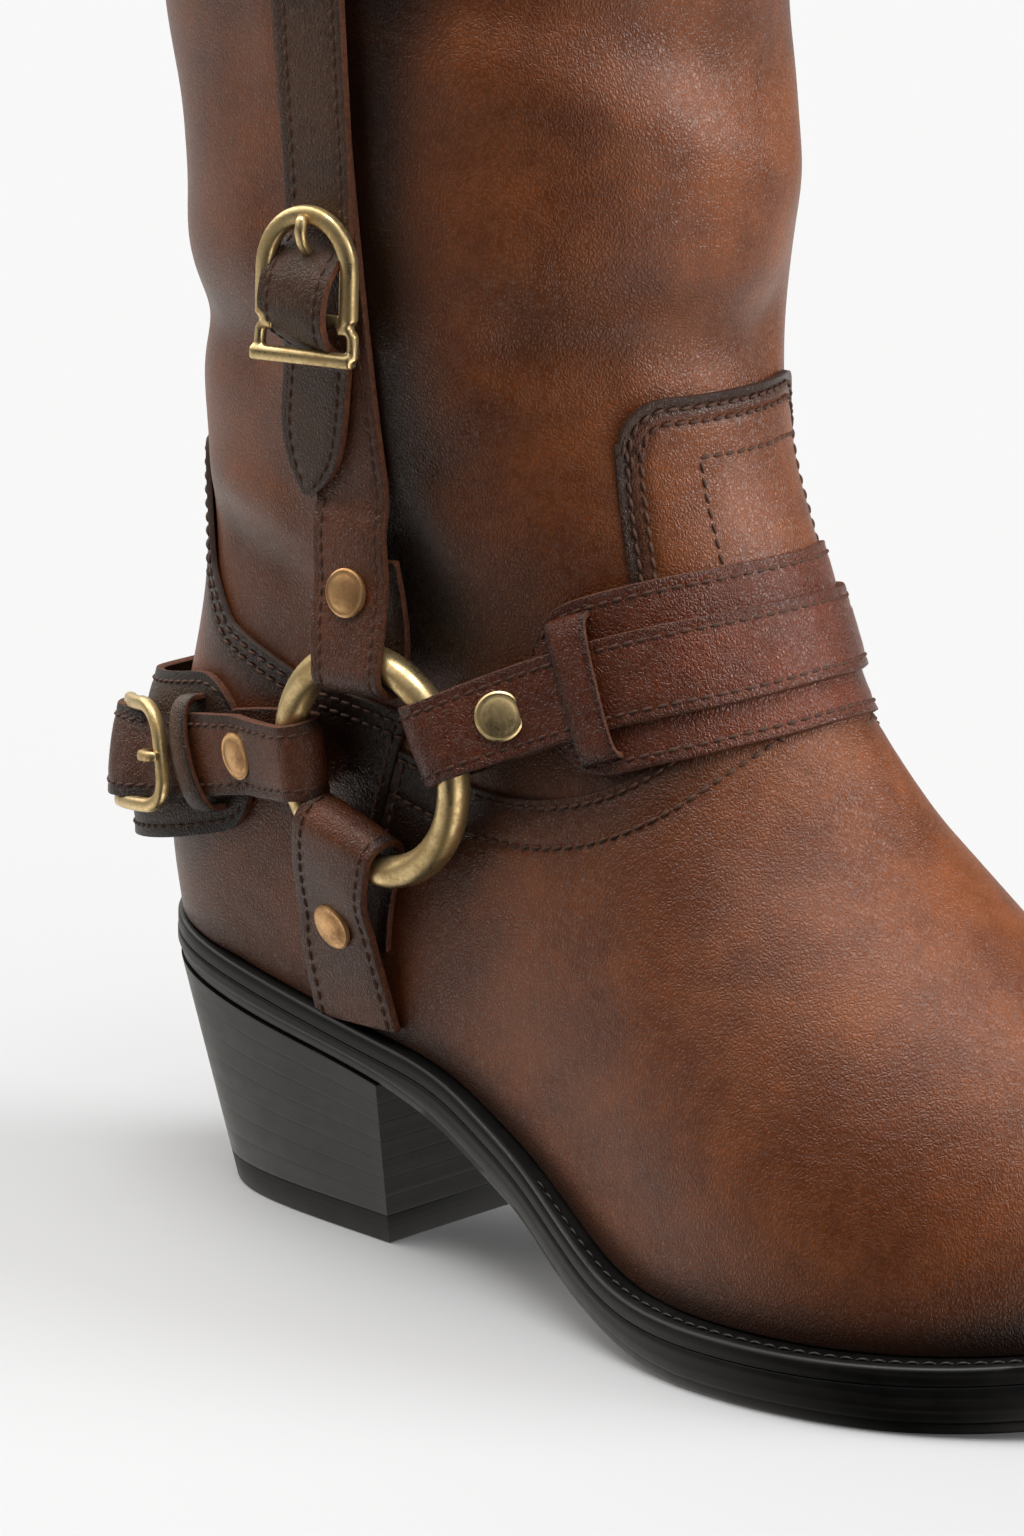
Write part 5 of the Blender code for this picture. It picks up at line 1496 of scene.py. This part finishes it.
# %% Billet of the shaft buckle
BUCKLE_Z = 190.0
BILLET_TIP_Z = 150.0
BILLET_HALF = 7.9
billet = Line(upright(BILLET_LINE, 112.0, 300.0, -1, 120), frames["lateral"], "shaft")
REST = lie + LAYER + 0.1
PLATE = REST + STRAP / 2 + 0.5


def billet_place(z):
    return np.interp(z, billet.points[:, 2], billet.along)


BILLET_TIP = (
    # height over the tip, share of the width
    (0.0, 0.14), (0.9, 0.32), (2.6, 0.52), (5.6, 0.76), (9.0, 0.93), (12.5, 1.0),
)
WEAVE = (
    # height over the buckle's middle, height over the last
    (-22.0, REST), (-14.5, REST), (-11.6, REST + 0.6), (-9.4, REST + 3.0), (-6.2, PLATE + 5.2), (-1.6, PLATE + 6.4),
    (2.8, PLATE + 5.6), (6.8, PLATE + 2.8), (9.6, REST + 0.9), (12.4, REST + 0.1), (18.0, REST), (35.0, REST),
    (60.0, REST), (80.0, REST), (SHAFT_STRAP_TOP - BUCKLE_Z, REST),
)
woven = [(billet_place(BILLET_TIP_Z + z), REST, share * BILLET_HALF, None) for z, share in BILLET_TIP]
woven += [(billet_place(BUCKLE_Z + z), h, BILLET_HALF, None) for z, h in WEAVE]
strap("shaft_billet", billet, woven, strap_olive, (1.0, 0.0), flat=True)

# %% [markdown]
# A buckle is cast, so its bars run into each other with soft corners. Each bar is swept on its own, then
# a Remesh modifier melts them into one skin and a Smooth modifier rounds what it leaves.


# %% Buckles
SECTION = 16


def squared(k):
    """Cosine or sine of an oval section, drawn towards a rounded bar."""
    return np.sign(k) * np.abs(k) ** 0.75


def bar(name, points, wide, thick, out, ends=None):
    """A cast bar along points: an oval section that keeps its flat side to out."""
    p = np.asarray(points, float)
    tangent = unit(np.gradient(p, axis=0))
    flat = np.broadcast_to(out, p.shape)
    side = unit(np.cross(tangent, flat))
    up = np.cross(side, tangent)
    turn = 2 * np.pi * np.arange(SECTION) / SECTION
    size = np.ones(len(p)) if ends is None else np.asarray(ends, float)
    rows = p[:, None] + size[:, None, None] * (
        wide / 2 * squared(np.cos(turn))[None, :, None] * side[:, None]
        + thick / 2 * squared(np.sin(turn))[None, :, None] * up[:, None])
    caps = [end[:, None].repeat(SECTION, axis=1) for end in (p[:1], p[-1:])]
    return sheet(name, np.concatenate([caps[0], rows, caps[1]]), (antique_brass,), wrap=(False, True))


def cast(node, bars, voxel=0.32):
    """Join bars into one casting with soft inner corners."""
    bpy.ops.object.select_all(action="DESELECT")
    for part in bars:
        part.select_set(True)
    bpy.context.view_layer.objects.active = bars[0]
    bpy.ops.object.join()
    piece = bars[0]
    piece.name = piece.data.name = node + "_dressed"
    modify(piece, "REMESH", mode="VOXEL", voxel_size=voxel * MM, adaptivity=0.0)
    modify(piece, "SMOOTH", factor=0.5, iterations=6)
    piece.data.materials.clear()
    piece.data.materials.append(antique_brass)
    finish_piece(piece, "antique_brass", node)


middle, up, left, out = billet.over(billet_place(BUCKLE_Z), 0.0, PLATE + 3.6, flat=True)
TILT = math.radians(6.0)
PLATE_WIDE, PLATE_TALL = 0.82, 0.9
PLATE_SHIFT = 1.0
BOW_HALF = 11.0
up = unit(up - 0.14 * out)
left = unit(left + 0.18 * out)
left, up = math.cos(TILT) * left - math.sin(TILT) * up, math.cos(TILT) * up + math.sin(TILT) * left
out = unit(np.cross(up, left))


def on_plate(rows):
    """Points of the buckle's plane from side, height and stand."""
    k = np.asarray(rows, float)
    return middle + (PLATE_WIDE * k[:, :1] - PLATE_SHIFT) * left + PLATE_TALL * k[:, 1:2] * up + k[:, 2:] * out


arc = np.radians(np.linspace(0, 180, 41))
bow = [(-BOW_HALF, y, 0.0) for y in np.linspace(-4.2, 5.0, 11)]
bow += [(-BOW_HALF * np.cos(t), 5.4 + 11.4 * np.sin(t), 0.0) for t in arc]
bow += [(BOW_HALF, y, 0.0) for y in np.linspace(5.0, -4.2, 11)]
SHOULDER = ((BOW_HALF, -3.6, 0.0), (10.6, -4.8, -0.1), (9.4, -5.6, -0.2), (8.4, -5.8, -0.2))
LOWER_SIDE = ((9.6, -5.8, -0.2), (11.2, -6.2, -0.2), (12.0, -7.2, -0.2), (12.2, -9.0, -0.2), (12.2, -12.0, -0.1))


def both_sides(name, points, wide, thick):
    return [bar(name, on_plate([(side * x, y, h) for x, y, h in points]), wide, thick, out) for side in (-1, 1)]


bars = [bar("bow", on_plate(bow), 3.6, 3.0, out)]
across = np.linspace(-BOW_HALF, BOW_HALF, 15)
bars += [bar("middle_bar", on_plate([(x, -4.4, -0.6) for x in across]), 2.4, 2.0, out)]
bars += both_sides("shoulder", SHOULDER, 2.8, 2.7) + both_sides("lower_side", LOWER_SIDE, 2.1, 2.3)
bars += [bar("lower_bar", on_plate([(x, -12.2, 0.2) for x in np.linspace(-12.6, 13.8, 25)]), 3.0, 2.9, out)]
cast("shaft_buckle", bars)
PRONG = [(0.0, y, h) for y, h in ((8.0, -1.4), (9.6, 0.5), (11.6, 1.9), (13.6, 2.5), (15.8, 2.3), (16.8, 1.7))]
prong = bar("shaft_prong_dressed", on_plate(PRONG), 2.2, 1.9, out, ends=(1.0, 1.0, 1.0, 1.0, 0.95, 0.7))
finish_piece(prong, "antique_brass", "shaft_prong")

CORNERS = ((0.0, -1.0), (5.0, -1.0), (11.0, -1.0), (13.4, -0.93), (15.2, -0.74), (16.0, -0.45), (16.1, 0.0))
FRAME_HALF = 9.8
half_bow = np.array(CORNERS + tuple((a, -v) for a, v in CORNERS[-2::-1]))
run = lengths_along(half_bow * (1, FRAME_HALF))
half_bow = smooth_through(run, half_bow, np.linspace(0, run[-1], 60))
place = HEEL_BAR - half_bow[:, 0]
stand = heel_height(place) + 2.0 + 0.04 * half_bow[:, 0]
frame_points, _, _, heel_out = heel.over(place, FRAME_HALF * half_bow[:, 1], stand, flat=True)
back_bar = np.linspace(frame_points[0], frame_points[-1], 15)
cast("heel_buckle", [bar("heel_bow", frame_points, 2.9, 2.6, heel_out),
                     bar("heel_bar", back_bar, 2.2, 2.2, heel_out.mean(axis=0))])
HEEL_PRONG = np.array((
    # distance before the bar, height over the strap
    (9.2, 0.2), (10.6, 2.4), (12.8, 4.4), (15.2, 4.9), (17.4, 4.5),
))
place = HEEL_BAR - HEEL_PRONG[:, 0]
tip, _, _, tip_out = heel.over(place, 0.0, heel_height(place) + HEEL_PRONG[:, 1])
prong = bar("heel_prong_dressed", tip, 2.3, 2.0, tip_out, ends=(1.0, 1.0, 1.0, 0.9, 0.7))
finish_piece(prong, "antique_brass", "heel_prong")

# %% [markdown]
# Every row of thread is made of single stitches, not quite three millimetres apart, that dip into the
# leather at both ends. One stitch is modelled from a small ball, drawn long, and copied along all rows.

# %% Stitches
STITCH_PITCH = 2.75
STITCH_SLANT = 0.12
one = fresh(bpy.ops.mesh.primitive_uv_sphere_add, segments=8, ring_count=6, radius=1.0)
edit_all()
bpy.ops.transform.rotate(value=math.pi / 2, orient_axis="Y", center_override=(0, 0, 0))
bpy.ops.transform.resize(value=(1.18, 0.38, 0.33))
bpy.ops.object.mode_set(mode="OBJECT")
stitch = np.array([v.co[:] for v in one.data.vertices])
stitch[:, 2] -= 0.22 * (stitch[:, 0] / 1.15) ** 2
stitch_faces = [tuple(f.vertices) for f in one.data.polygons]
bpy.data.objects.remove(one, do_unlink=True)


def sew(name, rows, finish, slot, pitch=STITCH_PITCH, size=1.0):
    """Copy the stitch along rows of points, each turned to the row and to the face it lies on."""
    placed = []
    for path, up, lift in rows:
        run = lengths_along(path)
        count = int(run[-1] / pitch)
        if count < 1:
            continue
        at = (np.arange(count) + 0.5) * run[-1] / count
        centre = read_along(at, run, path)
        face = unit(read_along(at, run, up))
        ahead = unit(read_along(at + 0.8, run, path) - read_along(at - 0.8, run, path))
        beside = np.cross(face, ahead)
        along = unit(ahead + STITCH_SLANT * beside)
        beside = np.cross(face, along)
        local = stitch * size
        body = (local[None, :, :1] * along[:, None] + local[None, :, 1:2] * beside[:, None]
                + (local[None, :, 2:] + lift + 0.1) * face[:, None])
        placed.append(centre[:, None] + body)
    points = np.concatenate(placed)
    count = len(stitch)
    faces = [tuple(i + k * count for i in f) for k in range(len(points)) for f in stitch_faces]
    mesh = bpy.data.meshes.new(name)
    mesh.from_pydata(in_metres(points).tolist(), [], faces)
    mesh.materials.append(finish)
    piece = bpy.data.objects.new(name, mesh)
    bpy.context.scene.collection.objects.link(piece)
    print(len(points), "stitches in", name)
    finish_piece(piece, slot)


sew("seam_stitches", thread_rows, thread, "upper_leather")
sew("welt_stitches", welt_rows, edge_black, "sole_edge", pitch=3.0, size=1.15)

# %% [markdown]
# The photograph is taken from the outer front quarter, a little above, with a long lens. The floor and
# the background are one pale sheet. A wide lamp hangs overhead, a second stands at the right, and weaker
# ones at the left. The light that a white floor throws back is set as soft lights from below, and the
# side of the camera stays almost dark, so that the leather keeps its depth.

# %% Camera, floor and light
scene = bpy.context.scene
scene.view_settings.view_transform = "Standard"
CAMERA = (0.88037, -0.84275, 0.41058)
TARGET = (0.06075, -0.02313, 0.100)


def aimed(data, name, location, target):
    """An object that looks from a place to a target."""
    thing = bpy.data.objects.new(name, data)
    scene.collection.objects.link(thing)
    way = np.array(target) - np.array(location)
    thing.location = location
    tilt = math.atan2(math.hypot(way[0], way[1]), -way[2])
    thing.rotation_euler = (tilt, 0.0, math.atan2(way[1], way[0]) - math.pi / 2)
    return thing


lens = bpy.data.cameras.new("camera")
lens.lens = 151.875
lens.sensor_width = 36.0
scene.camera = aimed(lens, "camera", CAMERA, TARGET)

floor = fresh(bpy.ops.mesh.primitive_plane_add, size=14.0)
floor.name = "floor"
floor_finish, _, _ = new_finish("pale_floor", {
    "Base Color": (0.46, 0.463, 0.472, 1.0), "Roughness": 0.9, "Specular IOR Level": 0.0,
    "Emission Color": (1.0, 1.0, 1.0, 1.0), "Emission Strength": 0.06})
floor.data.materials.append(floor_finish)
floor.visible_diffuse = False
floor.visible_glossy = False

world = bpy.data.worlds.new("studio")
scene.world = world
world.use_nodes = True
sky = world.node_tree
outward = Wire(sky, sky.nodes.new("ShaderNodeTexCoord").outputs["Generated"])


def towards(x, y, z):
    """How far a direction of the studio points one way, from -1 to 1."""
    return outward.node("VectorMath", {"operation": "DOT_PRODUCT"}, {0: outward, 1: (x, y, z)}, out="Value")


SOFT_LIGHTS = (
    # turn from the right of the picture towards its back, lift over the floor, strength
    (135, 42, 2.1), (180, 42, 1.1), (315, 42, 0.9), (270, 42, 0.2), (90, 5, 0.55), (315, -35, 1.9),
    (45, -35, 0.95), (135, -35, 0.8), (180, -35, 0.75), (90, -35, 0.2),
)
LIGHT_EDGE = (0.743, 0.99)
PICTURE_TURN = 45
glow = 0.0
for turn, lift, strength in SOFT_LIGHTS:
    turn, lift = math.radians(turn + PICTURE_TURN), math.radians(lift)
    way = (math.cos(lift) * math.cos(turn), math.cos(lift) * math.sin(turn), math.sin(lift))
    glow = glow + strength * towards(*way).step(*LIGHT_EDGE)
sky.nodes["Background"].inputs["Color"].default_value = (1.0, 0.97, 0.92, 1.0)
sky.links.new(glow.socket, sky.nodes["Background"].inputs["Strength"])

SUNS = (
    # name, direction it comes from, width in degrees, strength
    ("key_right", (0.80, 0.62, 0.42), 34.0, 2.5),
    ("top", (0.0, -0.12, 1.0), 45.0, 2.8),
)
for name, source, wide, strength in SUNS:
    lamp = bpy.data.lights.new(name, "SUN")
    lamp.angle = math.radians(wide)
    lamp.energy = strength
    aimed(lamp, name, source, (0.0, 0.0, 0.0))
print("camera at", CAMERA)

# %% [markdown]
# Last the view layer is brought up to date.

# %% Bring the scene up to date
bpy.context.view_layer.update()
